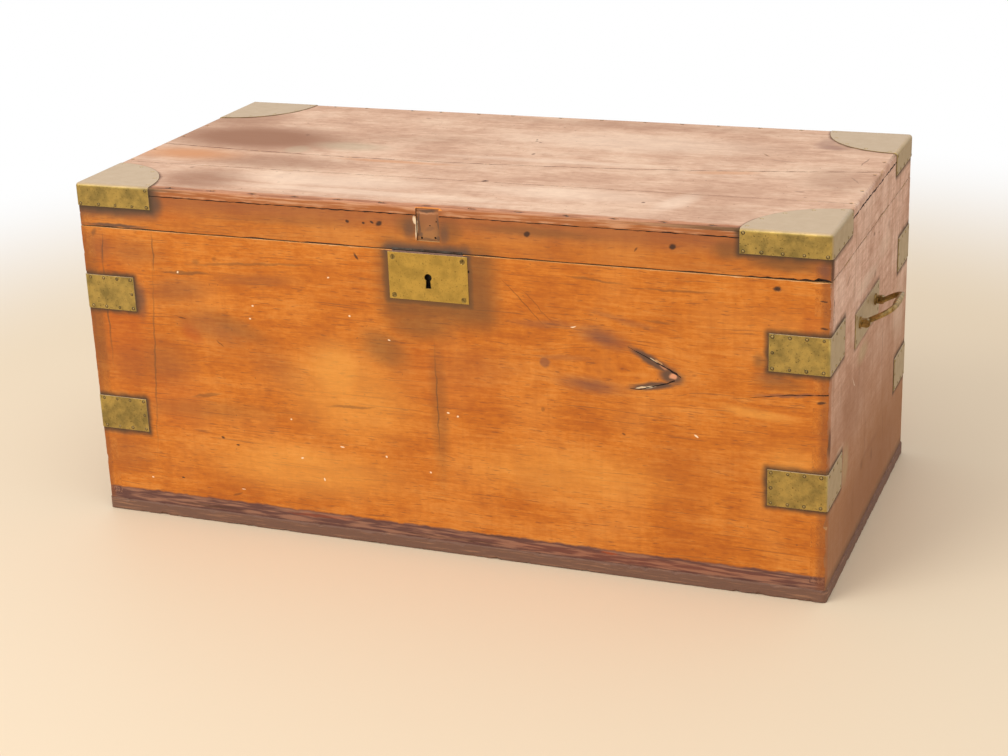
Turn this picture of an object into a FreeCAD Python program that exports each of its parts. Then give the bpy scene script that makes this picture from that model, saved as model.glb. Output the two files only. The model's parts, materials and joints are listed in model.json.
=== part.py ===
import FreeCAD, Part
import math
import os
import Sketcher
from FreeCAD import Rotation, Vector

# Campaign chest: a brass-bound camphor-wood trunk with a lift-up lid.
# Frame: origin at the bottom centre of the case, +X to the right, -Y is the front, +Z up, mm.

SIZES = {
    # Case
    "case_width": 920.0,            # X, outside the boards
    "case_depth": 457.0,            # Y, outside the boards
    "parting_height": 373.0,        # floor to the top edge of the case boards
    "board_thick": 18.0,            # case boards and lid rails
    "bottom_thick": 15.0,           # bottom boards, nailed on from below
    "bottom_overhang": 2.0,         # how far the bottom stands out all round
    "bottom_corner_round": 7.0,
    "bottom_seam_back": 30.0,       # joint of the two bottom boards, behind the middle
    "seam_gap": 0.4,                # open seam between planks that have shrunk
    "case_edge_round": 2.0,         # worn upright corners
    # Corner joints
    "tail_width": 30.0,             # at the face of the board
    "tail_count": 8.0,
    "lid_tail_width": 12.0,
    "lid_tail_count": 2.0,
    "tail_slope": 0.14,             # about one in seven
    "joint_clearance": 0.05,        # glue line on each flank of a tail
    # Lid
    "lid_gap": 0.8,                 # between case and closed lid
    "lid_height": 52.2,             # rails and top boards together
    "top_board_thick": 10.0,
    "lid_edge_round": 3.5,
    "front_seam_left": 112.0,       # straight seam, back from the front face
    "front_seam_right": 125.0,
    "back_seam_left": 208.0,        # long split with a bow, back from the front face
    "back_seam_right": 267.0,
    "back_seam_bow": 38.7,
    "hasp_recess_width": 28.0,      # bare seat of a lost plate on the lid's front
    "hasp_recess_height": 38.0,
    "hasp_recess_drop": 2.0,        # below the top of the lid
    "hasp_recess_depth": 2.2,
    # Brass straps and brackets
    "brass_thick": 1.6,
    "brass_proud": 0.8,             # the rest of the thickness is let into the wood
    "recess_clearance": 0.15,
    "strap_height": 43.0,
    "strap_front_leaf": 67.0,
    "strap_side_leaf": 71.0,
    "upper_strap_drop": 61.0,       # from the top edge of the case to the upper straps
    "lower_strap_rise": 111.0,      # from the floor to the lower straps
    "bracket_radius": 100.0,
    "bracket_skirt": 27.0,          # how far a bracket comes down from the top of the lid
    # Lock
    "lock_offset": -2.5,            # lock centre, from the middle of the front
    "lock_plate_width": 98.0,
    "lock_plate_height": 55.8,
    "lock_plate_thick": 1.6,
    "lock_plate_proud": 0.6,
    "lock_screw_side": 6.0,         # in from the plate's ends
    "lock_screw_low": 4.5,          # above the plate's lower edge
    "lock_screw_high": 5.8,         # below the plate's upper edge
    "selvage_width": 87.0,
    "selvage_depth": 13.0,
    "selvage_thick": 2.2,
    "link_plate_thick": 2.4,
    "staple_left": -29.0,           # from the lock centre
    "staple_spacing": 37.5,
    "staple_thick": 3.0,
    "staple_depth": 6.0,
    "staple_setback": 4.0,          # from the front face
    "staple_drop": 12.0,            # below the top edge of the case
    "eye_width": 3.6,
    "eye_height": 4.2,
    "eye_bottom": 1.8,              # metal left under the eye
    "slot_clearance": 0.8,
    "lock_case_width": 80.0,
    "lock_case_depth": 11.5,
    "lock_case_height": 48.8,
    "lock_case_wall": 1.2,
    "bolt_height": 6.0,
    "bolt_thick": 5.6,
    "bolt_below_staple": 3.0,
    "bolt_tail_length": 12.0,
    "bolt_clearance": 0.25,
    "hook_length": 4.5,
    "hook_post": 2.0,
    "hook_gap": 1.0,                # between hook tip and staple when unlocked
    "keyhole_drop": 27.8,           # below the plate's upper edge
    "keyhole_radius": 4.5,
    "keyway_length": 13.0,
    "keyway_width": 4.6,
    "keyway_flare": 7.0,
    # Hinges
    "hinge_offset": 270.0,          # hinge centre, from the middle
    "hinge_length": 76.0,
    "hinge_leaf_width": 16.0,
    "hinge_leaf_thick": 2.0,
    "knuckle_radius": 3.6,
    "knuckle_count": 5.0,
    "knuckle_gap": 0.3,
    "hinge_standoff": 0.3,          # knuckle to the back face
    "hinge_pin_radius": 1.6,
    "pin_clearance": 0.05,
    "hinge_screw_spacing": 27.0,
    # Handles
    "handle_centre_back": 197.0,    # back from the front face
    "handle_drop": 93.0,            # pivot line, below the top edge of the case
    "handle_spacing": 88.0,         # between the two lugs
    "handle_standoff": 8.0,         # pivot line to the end board
    "handle_plate_overhang": 24.0,  # of the flush plate, beyond the lugs' middles
    "handle_plate_rise": 17.0,      # above the pivot line
    "handle_plate_drop": 24.0,      # below the pivot line
    "handle_screw_inset": 6.5,      # in from the plate's edges
    "lug_width": 6.0,
    "lug_barrel_radius": 4.9,
    "lug_stem_height": 9.0,
    "lug_boss_radius": 7.0,
    "lug_boss_thick": 2.0,
    "lug_shank_radius": 2.5,        # through the plate, into the end board
    "lug_shank_length": 14.0,
    "bail_rod_radius": 3.2,
    "bail_grip_radius": 4.1,
    "bail_grip_half_length": 33.0,
    "bail_reach": 31.0,
    "bail_corner_radius": 17.0,
    "bail_bend_radius": 4.0,
    "bail_end_play": 0.3,
    "bail_stub_proud": 0.8,
    "right_bail_raise": 28.0,       # degrees above level
    "left_bail_raise": -90.0,       # hanging
    # Screws
    "lock_screw_head_radius": 3.2,
    "hinge_screw_head_radius": 3.0,
    "handle_screw_head_radius": 2.6,
    "screw_shank_radius": 1.4,
    "screw_head_depth": 1.5,
    "screw_length": 13.0,
    "screw_clearance": 0.05,
    "screw_slot_width": 0.8,
    "screw_slot_depth": 0.6,
}

FAR = 20.0              # how far a cutter stands out of what it cuts
OVERLAP = 1.0           # how far the joined forms of one piece reach into each other
SLOT_TURN = 37.0        # degrees from the slot of one screw to that of the next
SNAP = 1e-6             # edges nearer than this to a plane lie in it

doc = FreeCAD.newDocument("campaign_chest")
sheet = doc.addObject("Spreadsheet::Sheet", "sizes")
for row, (alias, value) in enumerate(SIZES.items(), start=1):
    sheet.set(f"A{row}", alias)
    sheet.set(f"B{row}", str(value))
    sheet.setAlias(f"B{row}", alias)
doc.recompute()

# Places that several pieces share, as expressions on the sheet.
HALF_W = "(sizes.case_width / 2)"
HALF_D = "(sizes.case_depth / 2)"
THICK = "sizes.board_thick"
CASE_LOW = "sizes.bottom_thick"
CASE_HIGH = "sizes.parting_height"
LID_LOW = "(sizes.parting_height + sizes.lid_gap)"
LID_HIGH = "(sizes.parting_height + sizes.lid_gap + sizes.lid_height)"
RAIL_HIGH = f"({LID_HIGH} - sizes.top_board_thick)"
LET_IN = "(sizes.brass_thick - sizes.brass_proud)"
SELVAGE_LOW = f"({CASE_HIGH} - sizes.selvage_thick)"
PLATE_LOW = f"({SELVAGE_LOW} - sizes.lock_plate_height)"
HANDLE_Y = f"(-{HALF_D} + sizes.handle_centre_back)"
HANDLE_Z = f"({CASE_HIGH} - sizes.handle_drop)"
HANDLE_HALF = "(sizes.handle_spacing / 2 + sizes.handle_plate_overhang)"
HINGE_Y = f"({HALF_D} + sizes.hinge_standoff + sizes.knuckle_radius)"
HINGE_Z = "(sizes.parting_height + sizes.lid_gap / 2)"

nodes = []


# ---------------------------------------------------------------- helpers

def plane(body, role):
    """One of the body's own origin planes or axes."""
    return next(item for item in body.Origin.OriginFeatures if item.Role == role)


def new_body(name):
    return doc.addObject("PartDesign::Body", name)


def new_sketch(body, name, role, offset="0"):
    """A sketch on an origin plane of the body, moved along the plane's normal."""
    sketch = body.newObject("Sketcher::SketchObject", name)
    sketch.AttachmentSupport = [(plane(body, role), "")]
    sketch.MapMode = "FlatFace"
    sketch.setExpression("AttachmentOffset.Base.z", offset)
    return sketch


def pin_point(sketch, geometry, position, place):
    """Tie a point of the sketch to two expressions, measured from its origin."""
    for kind, text in zip(("DistanceX", "DistanceY"), place):
        index = sketch.addConstraint(Sketcher.Constraint(kind, -1, 1, geometry, position, 1.0))
        sketch.setExpression(f"Constraints[{index}]", text)


def add_polygon(sketch, points):
    """A closed outline of straight lines whose corners follow the expressions."""
    count = len(points)
    start = sketch.GeometryCount
    ring = [Vector(math.cos(2 * math.pi * i / count), math.sin(2 * math.pi * i / count), 0)
            for i in range(count)]
    for i in range(count):
        sketch.addGeometry(Part.LineSegment(ring[i], ring[(i + 1) % count]), False)
    for i in range(count):
        following = start + (i + 1) % count
        sketch.addConstraint(Sketcher.Constraint("Coincident", start + i, 2, following, 1))
    for i, point in enumerate(points):
        pin_point(sketch, start + i, 1, point)


def add_rectangle(sketch, low, high):
    add_polygon(sketch, [(low[0], low[1]), (high[0], low[1]), (high[0], high[1]), (low[0], high[1])])


def add_circle(sketch, centre, radius):
    index = sketch.addGeometry(Part.Circle(Vector(0, 0, 0), Vector(0, 0, 1), 1.0), False)
    pin_point(sketch, index, 3, centre)
    limit = sketch.addConstraint(Sketcher.Constraint("Radius", index, 1.0))
    sketch.setExpression(f"Constraints[{limit}]", radius)


def pad(body, sketch, length, reverse=False):
    feature = body.newObject("PartDesign::Pad", sketch.Name + "_pad")
    feature.Profile = sketch
    feature.setExpression("Length", length)
    feature.Reversed = reverse
    return feature


def pocket(body, sketch, depth, reverse=False):
    feature = body.newObject("PartDesign::Pocket", sketch.Name + "_pocket")
    feature.Profile = sketch
    feature.setExpression("Length", depth)
    feature.Reversed = reverse
    return feature


def repeat(body, features, axis_role, length, count):
    """Linear pattern of the features along one of the body's axes."""
    feature = body.newObject("PartDesign::LinearPattern", features[0].Name + "_row")
    feature.Originals = features
    feature.Direction = (plane(body, axis_role), [""])
    feature.setExpression("Length", length)
    feature.setExpression("Occurrences", count)
    body.Tip = feature
    return feature


def round_edges(body, base, radius, keep):
    """Fillet of those edges of the base feature that keep() accepts."""
    doc.recompute()
    names = [f"Edge{i}" for i, edge in enumerate(base.Shape.Edges, start=1) if keep(edge.BoundBox)]
    feature = body.newObject("PartDesign::Fillet", base.Name + "_round")
    feature.Base = (base, names)
    feature.setExpression("Radius", radius)
    return feature


def is_upright(box):
    return box.XLength < SNAP and box.YLength < SNAP


def block(name, low, high):
    """A box between two corners, both given as expressions."""
    box = doc.addObject("Part::Box", name)
    for side, start, end in zip(("Length", "Width", "Height"), low, high):
        box.setExpression(side, f"({end}) - ({start})")
    for axis, start in zip("xyz", low):
        box.setExpression(f"Placement.Base.{axis}", start)
    return box


def place(item, base, rotation=None):
    """Tie an object's base point to expressions; the turn, if any, is set once."""
    if rotation is not None:
        item.Placement.Rotation = rotation
    for axis, text in zip("xyz", base):
        item.setExpression(f"Placement.Base.{axis}", text)
    return item


def cylinder(name, base, direction, radius, height):
    rod = doc.addObject("Part::Cylinder", name)
    rod.setExpression("Radius", radius)
    rod.setExpression("Height", height)
    return place(rod, base, Rotation(Vector(0, 0, 1), direction))


def join(name, items):
    whole = doc.addObject("Part::MultiFuse", name)
    whole.Shapes = items
    return whole


def combine(kind, name, base, tool):
    """Part::Cut or Part::Common of two objects."""
    result = doc.addObject(kind, name)
    result.Base = base
    result.Tool = tool
    return result


def cut(name, base, tool):
    return combine("Part::Cut", name, base, tool)


def common(name, base, tool):
    return combine("Part::Common", name, base, tool)


def group(name, items):
    """Separate solids of one kind, kept in one object."""
    result = doc.addObject("Part::Compound", name)
    result.Links = items
    return result


def node(item, label):
    """Name a finished sub-part; the label is its file name too."""
    item.Label = label
    nodes.append(item)
    return item


def rounded_block(name, low, high, radius, keep):
    """A padded rectangle with rounded edges."""
    body = new_body(name)
    sketch = new_sketch(body, name + "_outline", "XY_Plane", low[2])
    add_rectangle(sketch, low[:2], high[:2])
    solid = pad(body, sketch, f"({high[2]}) - ({low[2]})")
    round_edges(body, solid, radius, keep)
    return body


# ---------------------------------------------------------------- envelopes
# The wood's outer shape, and the same shape let in and proud, where the brass seats.

def upright_or_top(top):
    return lambda box: is_upright(box) or box.ZMin > top - SNAP


def case_core(name, grow):
    low = (f"-{HALF_W} - ({grow})", f"-{HALF_D} - ({grow})", CASE_LOW)
    high = (f"{HALF_W} + {grow}", f"{HALF_D} + {grow}", CASE_HIGH)
    return rounded_block(name, low, high, f"sizes.case_edge_round + {grow}", is_upright)


def lid_core(name, grow, growth):
    low = (f"-{HALF_W} - ({grow})", f"-{HALF_D} - ({grow})", LID_LOW)
    high = (f"{HALF_W} + {grow}", f"{HALF_D} + {grow}", f"{LID_HIGH} + {grow}")
    top = SIZES["parting_height"] + SIZES["lid_gap"] + SIZES["lid_height"] + growth
    return rounded_block(name, low, high, f"sizes.lid_edge_round + {grow}", upright_or_top(top))


let_in = SIZES["brass_thick"] - SIZES["brass_proud"]
case_shape = case_core("case_shape", "0")
case_inner = case_core("case_inner", f"(0 - {LET_IN})")
case_outer = case_core("case_outer", "sizes.brass_proud")
lid_shape = lid_core("lid_shape", "0", 0.0)
lid_inner = lid_core("lid_inner", f"(0 - {LET_IN})", -let_in)
lid_outer = lid_core("lid_outer", "sizes.brass_proud", SIZES["brass_proud"])


# ---------------------------------------------------------------- dovetailed boards

def tail_outline(front, z_low, pitch, width, grow):
    """One tail in the YZ plane: wide at the board's face, narrow at its root."""
    side = "-" if front else ""
    face = f"{side}{HALF_D}"
    root = f"{side}({HALF_D} - {THICK})"
    middle = f"{z_low} + {pitch} / 2"
    at_face = f"({width} / 2 + {grow})"
    at_root = f"({width} / 2 + {grow} - {THICK} * sizes.tail_slope)"
    return [(face, f"{middle} - {at_face}"), (root, f"{middle} - {at_root}"),
            (root, f"{middle} + {at_root}"), (face, f"{middle} + {at_face}")]


def end_blank(name, x_low, z_low, z_high, width, count):
    """End board with tails at its front and back edges."""
    pitch = f"(({z_high} - {z_low}) / {count})"
    body = new_body(name)
    web = new_sketch(body, name + "_web", "YZ_Plane", x_low)
    add_rectangle(web, (f"-({HALF_D} - {THICK})", z_low), (f"{HALF_D} - {THICK}", z_high))
    pad(body, web, THICK)
    tails = new_sketch(body, name + "_tails", "YZ_Plane", x_low)
    for front in (True, False):
        add_polygon(tails, tail_outline(front, z_low, pitch, width, "0"))
    repeat(body, [pad(body, tails, THICK)], "Z_Axis", f"{pitch} * ({count} - 1)", count)
    return body


def side_blank(name, front, z_low, z_high, width, count):
    """Front or back board with sockets for the tails at both ends."""
    pitch = f"(({z_high} - {z_low}) / {count})"
    body = new_body(name)
    offset = f"{HALF_D} - {THICK}" if front else f"-{HALF_D}"
    outline = new_sketch(body, name + "_outline", "XZ_Plane", offset)
    add_rectangle(outline, (f"-{HALF_W}", z_low), (HALF_W, z_high))
    pad(body, outline, THICK)
    for side, x_low in (("left", f"-{HALF_W}"), ("right", f"{HALF_W} - {THICK}")):
        sockets = new_sketch(body, f"{name}_{side}_sockets", "YZ_Plane", x_low)
        add_polygon(sockets, tail_outline(front, z_low, pitch, width, "sizes.joint_clearance"))
        cutting = pocket(body, sockets, THICK, reverse=True)
        repeat(body, [cutting], "Z_Axis", f"{pitch} * ({count} - 1)", count)
    return body


case_joint = (CASE_LOW, CASE_HIGH, "sizes.tail_width", "sizes.tail_count")
lid_joint = (LID_LOW, RAIL_HIGH, "sizes.lid_tail_width", "sizes.lid_tail_count")


# ---------------------------------------------------------------- screws

def screw_master(name, head_radius, grow, length, slotted):
    """Countersunk screw along +Z with its head's face at z = 0, or the hole for it."""
    wide = f"{head_radius} + {grow}"
    thin = f"sizes.screw_shank_radius + {grow}"
    head = doc.addObject("Part::Cone", name + "_head")
    head.setExpression("Radius1", wide)
    head.setExpression("Radius2", thin)
    head.setExpression("Height", "sizes.screw_head_depth")
    along = Vector(0, 0, 1)
    shank = cylinder(name + "_shank", ("0", "0", "sizes.screw_head_depth"), along, thin,
                     f"{length} - sizes.screw_head_depth")
    if not slotted:
        mouth = cylinder(name + "_mouth", ("0", "0", f"-{FAR}"), along, wide, f"{FAR}")
        return join(name, [mouth, head, shank])
    slot = block(name + "_slot", (f"-({wide})", "-sizes.screw_slot_width / 2", f"-{FAR}"),
                 (wide, "sizes.screw_slot_width / 2", "sizes.screw_slot_depth"))
    return cut(name, join(name + "_blank", [head, shank]), slot)


def copies(name, master, places, direction):
    """Linked copies of a screw or its hole, each driven along the direction."""
    links = []
    for i, spot in enumerate(places):
        link = doc.addObject("App::Link", f"{name}_{i + 1}")
        link.LinkedObject = master
        turn = Rotation(Vector(0, 0, 1), direction) * Rotation(Vector(0, 0, 1), SLOT_TURN * i)
        links.append(place(link, spot, turn))
    return links


def screw_set(name, head_radius, rows):
    """Screws and the holes for them; rows are (label, places, direction)."""
    screw = screw_master(name + "_screw", head_radius, "0", "sizes.screw_length", True)
    hole = screw_master(name + "_hole", head_radius, "sizes.screw_clearance",
                        "sizes.screw_length + sizes.screw_clearance", False)
    screws, holes = [], {}
    for label, places, direction in rows:
        screws += copies(f"{name}_{label}_screw", screw, places, direction)
        holes[label] = copies(f"{name}_{label}_hole", hole, places, direction)
    return screws, holes


LOCK_FACE_Y = f"(-{HALF_D} - sizes.lock_plate_proud)"
lock_places = [(f"sizes.lock_offset + {side} * (sizes.lock_plate_width / 2 - sizes.lock_screw_side)",
                LOCK_FACE_Y, height)
               for height in (f"{PLATE_LOW} + sizes.lock_screw_low",
                              f"{SELVAGE_LOW} - sizes.lock_screw_high")
               for side in (-1, 1)]
lock_screws, lock_holes = screw_set("lock", "sizes.lock_screw_head_radius",
                                    [("plate", lock_places, Vector(0, 1, 0))])


def hinge_places(side, height):
    centre = f"{side} * sizes.hinge_offset"
    row = f"{HALF_D} - sizes.hinge_leaf_width / 2"
    return [(f"{centre} + {step} * sizes.hinge_screw_spacing", row, height) for step in (-1, 0, 1)]


hinge_rows = []
for side_name, side in (("left", -1), ("right", 1)):
    hinge_rows.append((side_name + "_case", hinge_places(side, CASE_HIGH), Vector(0, 0, -1)))
    hinge_rows.append((side_name + "_lid", hinge_places(side, LID_LOW), Vector(0, 0, 1)))
hinge_screws, hinge_holes = screw_set("hinge", "sizes.hinge_screw_head_radius", hinge_rows)


def handle_places(side):
    """Screws of a handle's plate: three columns of two, clear of the lugs."""
    face = f"{side} * ({HALF_W} + sizes.brass_proud)"
    column = f"({HANDLE_HALF} - sizes.handle_screw_inset)"
    heights = (f"{HANDLE_Z} - sizes.handle_plate_drop + sizes.handle_screw_inset",
               f"{HANDLE_Z} + sizes.handle_plate_rise - sizes.handle_screw_inset")
    return [(face, f"{HANDLE_Y} + {step} * {column}", height) for step in (-1, 0, 1) for height in heights]


handle_rows = [(side_name, handle_places(side), Vector(-side, 0, 0))
               for side_name, side in (("left", -1), ("right", 1))]
handle_screws, handle_holes = screw_set("handle", "sizes.handle_screw_head_radius", handle_rows)


# ---------------------------------------------------------------- brass straps and brackets

def corner_block(name, side, front, reach, z_low, z_high, grow):
    """A block round one upright corner, from well outside it to the given reach inside."""
    span_x = [f"{side} * ({HALF_W} - ({reach[0]} + {grow}))", f"{side} * ({HALF_W} + {FAR})"]
    span_y = [f"{front} * ({HALF_D} - ({reach[1]} + {grow}))", f"{front} * ({HALF_D} + {FAR})"]
    if side < 0:
        span_x.reverse()
    if front < 0:
        span_y.reverse()
    return block(name, (span_x[0], span_y[0], f"{z_low} - {grow}"),
                 (span_x[1], span_y[1], f"{z_high} + {grow}"))


CORNERS = [(f"{depth_name}_{side_name}", side, front)
           for depth_name, front in (("front", -1), ("back", 1))
           for side_name, side in (("left", -1), ("right", 1))]
leaves = ("sizes.strap_front_leaf", "sizes.strap_side_leaf")
strap_levels = (("upper", f"({CASE_HIGH} - sizes.upper_strap_drop - sizes.strap_height)"),
                ("lower", "sizes.lower_strap_rise"))

strap_recesses = {}
for corner, side, front in CORNERS:
    for level, low in strap_levels:
        name = f"{corner}_{level}_strap"
        high = f"({low} + sizes.strap_height)"
        metal = corner_block(name + "_block", side, front, leaves, low, high, "0")
        shell = common(name + "_shell", metal, case_outer)
        node(cut(name, shell, case_inner), name)
        room = corner_block(name + "_room", side, front, leaves, low, high, "sizes.recess_clearance")
        strap_recesses.setdefault(corner, []).append(cut(name + "_recess", room, case_inner))

bracket_recesses = {}
for corner, side, front in CORNERS:
    name = f"{corner}_lid_bracket"
    for part, grow in (("metal", "0"), ("room", "sizes.recess_clearance")):
        base = (f"{side} * {HALF_W}", f"{front} * {HALF_D}", f"{LID_HIGH} - sizes.bracket_skirt - {grow}")
        disc = cylinder(f"{name}_{part}", base, Vector(0, 0, 1), f"sizes.bracket_radius + {grow}",
                        f"sizes.bracket_skirt + {FAR}")
        if part == "metal":
            node(cut(name, common(name + "_shell", disc, lid_outer), lid_inner), name)
        else:
            bracket_recesses[corner] = cut(name + "_recess", disc, lid_inner)


# ---------------------------------------------------------------- lock

LOCK_X = "sizes.lock_offset"
PLATE_BACK = f"({LOCK_FACE_Y} + sizes.lock_plate_thick)"
LOCK_LOW = f"({SELVAGE_LOW} - sizes.lock_case_height)"
KEYHOLE_Z = f"({SELVAGE_LOW} - sizes.keyhole_drop)"
STAPLE_Y = f"(-{HALF_D} + sizes.staple_setback)"
STAPLE_LOW = f"({CASE_HIGH} - sizes.staple_drop)"
FRONT_Y = f"-{HALF_D}"


def lock_span(half_width, grow="0"):
    return f"{LOCK_X} - ({half_width} + {grow})", f"{LOCK_X} + {half_width} + {grow}"


def lock_block(name, half_width, y_low, y_high, z_low, z_high, grow="0"):
    """A block centred on the lock; grow is added at its ends, back and bottom."""
    x_low, x_high = lock_span(half_width, grow)
    return block(name, (x_low, y_low, f"{z_low} - {grow}"), (x_high, f"{y_high} + {grow}", z_high))


plate_half = "sizes.lock_plate_width / 2"
case_half = "sizes.lock_case_width / 2"
selvage_half = "sizes.selvage_width / 2"
case_back = f"({PLATE_BACK} + sizes.lock_case_depth)"
selvage_back = f"(-{HALF_D} + sizes.selvage_depth)"
fit = "sizes.recess_clearance"

# Face plate with the keyhole, seen from the front in the XZ plane.
plate_body = new_body("lock_plate_body")
plate_sketch = new_sketch(plate_body, "lock_plate_outline", "XZ_Plane", f"-({PLATE_BACK})")
add_rectangle(plate_sketch, (lock_span(plate_half)[0], PLATE_LOW),
              (lock_span(plate_half)[1], SELVAGE_LOW))
plate_pad = pad(plate_body, plate_sketch, "sizes.lock_plate_thick")
round_edges(plate_body, plate_pad, "sizes.lock_plate_proud / 2",
            lambda box: box.YMax < -SIZES["case_depth"] / 2 - 0.5 * SIZES["lock_plate_proud"])
hole_sketch = new_sketch(plate_body, "keyhole", "XZ_Plane", f"-({PLATE_BACK})")
add_circle(hole_sketch, (LOCK_X, KEYHOLE_Z), "sizes.keyhole_radius")
pocket(plate_body, hole_sketch, "sizes.lock_plate_thick", reverse=True)
way_sketch = new_sketch(plate_body, "keyway", "XZ_Plane", f"-({PLATE_BACK})")
way_low = f"{KEYHOLE_Z} - sizes.keyway_length"
add_polygon(way_sketch, [(f"{LOCK_X} - sizes.keyway_width / 2", KEYHOLE_Z),
                         (f"{LOCK_X} - sizes.keyway_flare / 2", way_low),
                         (f"{LOCK_X} + sizes.keyway_flare / 2", way_low),
                         (f"{LOCK_X} + sizes.keyway_width / 2", KEYHOLE_Z)])
pocket(plate_body, way_sketch, "sizes.lock_plate_thick", reverse=True)
plate_holes = group("lock_plate_holes", lock_holes["plate"])
node(cut("lock_plate", plate_body, plate_holes), "lock_plate")

# Box behind the plate: open to the front, closed by the plate, and to the top, by the selvage.
wall = "sizes.lock_case_wall"
case_shell = lock_block("lock_case_shell", case_half, PLATE_BACK, case_back, LOCK_LOW, SELVAGE_LOW)
case_hollow = lock_block("lock_case_hollow", f"{case_half} - {wall}", f"{PLATE_BACK} - {FAR}",
                         f"{case_back} - {wall}", f"{LOCK_LOW} + {wall}", f"{SELVAGE_LOW} + {FAR}")
node(cut("lock_case", case_shell, case_hollow), "lock_case")

# Selvage in the top edge of the case, with a slot for each staple.
selvage_bar = lock_block("selvage_bar", selvage_half, FRONT_Y, selvage_back, SELVAGE_LOW, CASE_HIGH)


def staple_block(name, index, y_low, y_high, z_low, z_high, side_grow="0"):
    """A block at one staple of the link plate."""
    centre = f"{LOCK_X} + sizes.staple_left + {index} * sizes.staple_spacing"
    half = f"(sizes.staple_thick / 2 + {side_grow})"
    return block(name, (f"{centre} - {half}", y_low, z_low), (f"{centre} + {half}", y_high, z_high))


slack = "sizes.slot_clearance"
staple_y = (STAPLE_Y, f"{STAPLE_Y} + sizes.staple_depth")
slots = [staple_block(f"selvage_slot_{i + 1}", i, f"{staple_y[0]} - {slack}", f"{staple_y[1]} + {slack}",
                      f"{SELVAGE_LOW} - {FAR}", f"{CASE_HIGH} + {FAR}", slack) for i in (0, 1)]
node(cut("lock_selvage", selvage_bar, group("selvage_slots", slots)), "lock_selvage")

# Link plate under the lid's front rail: two staples drop through the selvage into the lock.
link_bar = lock_block("link_bar", selvage_half, FRONT_Y, selvage_back, LID_LOW,
                      f"{LID_LOW} + sizes.link_plate_thick")
staples = [staple_block(f"staple_{i + 1}", i, staple_y[0], staple_y[1], STAPLE_LOW,
                        f"{LID_LOW} + {OVERLAP}") for i in (0, 1)]
eye_y = f"({STAPLE_Y} + sizes.staple_depth / 2)"
eye_low = f"({STAPLE_LOW} + sizes.eye_bottom)"
eye_high = f"({eye_low} + sizes.eye_height)"
eyes = [staple_block(f"staple_eye_{i + 1}", i, f"{eye_y} - sizes.eye_width / 2",
                     f"{eye_y} + sizes.eye_width / 2", eye_low, eye_high, f"{FAR}") for i in (0, 1)]
link_blank = join("link_plate_blank", [link_bar] + staples)
node(cut("lid_link_plate", link_blank, group("staple_eyes", eyes)), "lid_link_plate")

# Bolt: a bar with two hooks, drawn back at rest, that slides to the right through the eyes.
bolt_body = new_body("lock_bolt_body")
play = "sizes.bolt_clearance"
hook_front = f"({eye_y} - sizes.eye_width / 2 + {play})"
hook_thick = f"(sizes.eye_width - 2 * {play})"
bar_back = f"({case_back} - {wall} - {play})"
tip_x = f"({LOCK_X} + sizes.staple_left - sizes.staple_thick / 2 - sizes.hook_gap)"
post_x = f"({tip_x} - sizes.hook_length - sizes.hook_post)"
bar_high = f"({STAPLE_LOW} - sizes.bolt_below_staple)"
bar_low = f"({bar_high} - sizes.bolt_height)"
bar_sketch = new_sketch(bolt_body, "bolt_bar", "XZ_Plane", f"-({bar_back})")
add_rectangle(bar_sketch, (post_x, bar_low),
              (f"{post_x} + sizes.staple_spacing + sizes.hook_post + sizes.bolt_tail_length", bar_high))
pad(bolt_body, bar_sketch, "sizes.bolt_thick")
hook_sketch = new_sketch(bolt_body, "bolt_hook", "XZ_Plane", f"-({hook_front} + {hook_thick})")
nose_low = f"{eye_low} + {play}"
nose_high = f"{eye_high} - {play}"
root_z = f"{bar_high} - {OVERLAP}"
add_polygon(hook_sketch, [(post_x, root_z), (f"{post_x} + sizes.hook_post", root_z),
                          (f"{post_x} + sizes.hook_post", nose_low), (tip_x, nose_low),
                          (tip_x, nose_high), (post_x, nose_high)])
repeat(bolt_body, [pad(bolt_body, hook_sketch, hook_thick)], "X_Axis", "sizes.staple_spacing", "2")
node(bolt_body, "lock_bolt")
node(group("lock_plate_screws", lock_screws), "lock_plate_screws")

mortise = lock_block("lock_mortise", case_half, f"{FRONT_Y} - {FAR}", case_back,
                     LOCK_LOW, f"{CASE_HIGH} + {FAR}", fit)
plate_seat = lock_block("lock_plate_seat", plate_half, f"{FRONT_Y} - {FAR}", PLATE_BACK,
                        PLATE_LOW, f"{SELVAGE_LOW} + {fit}")
selvage_seat = lock_block("selvage_seat", selvage_half, f"{FRONT_Y} - {FAR}", selvage_back,
                          SELVAGE_LOW, f"{CASE_HIGH} + {FAR}", fit)
x_low, x_high = lock_span(selvage_half, fit)
link_seat = block("link_plate_seat", (x_low, f"{FRONT_Y} - {FAR}", f"{LID_LOW} - {FAR}"),
                  (x_high, f"{selvage_back} + {fit}", f"{LID_LOW} + sizes.link_plate_thick"))
hasp_half = "sizes.hasp_recess_width / 2"
hasp_high = f"({LID_HIGH} - sizes.hasp_recess_drop)"
hasp_seat = block("hasp_recess", (f"-{hasp_half}", f"{FRONT_Y} - {FAR}",
                                  f"{hasp_high} - sizes.hasp_recess_height"),
                  (hasp_half, f"{FRONT_Y} + sizes.hasp_recess_depth", hasp_high))


# ---------------------------------------------------------------- hinges

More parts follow.
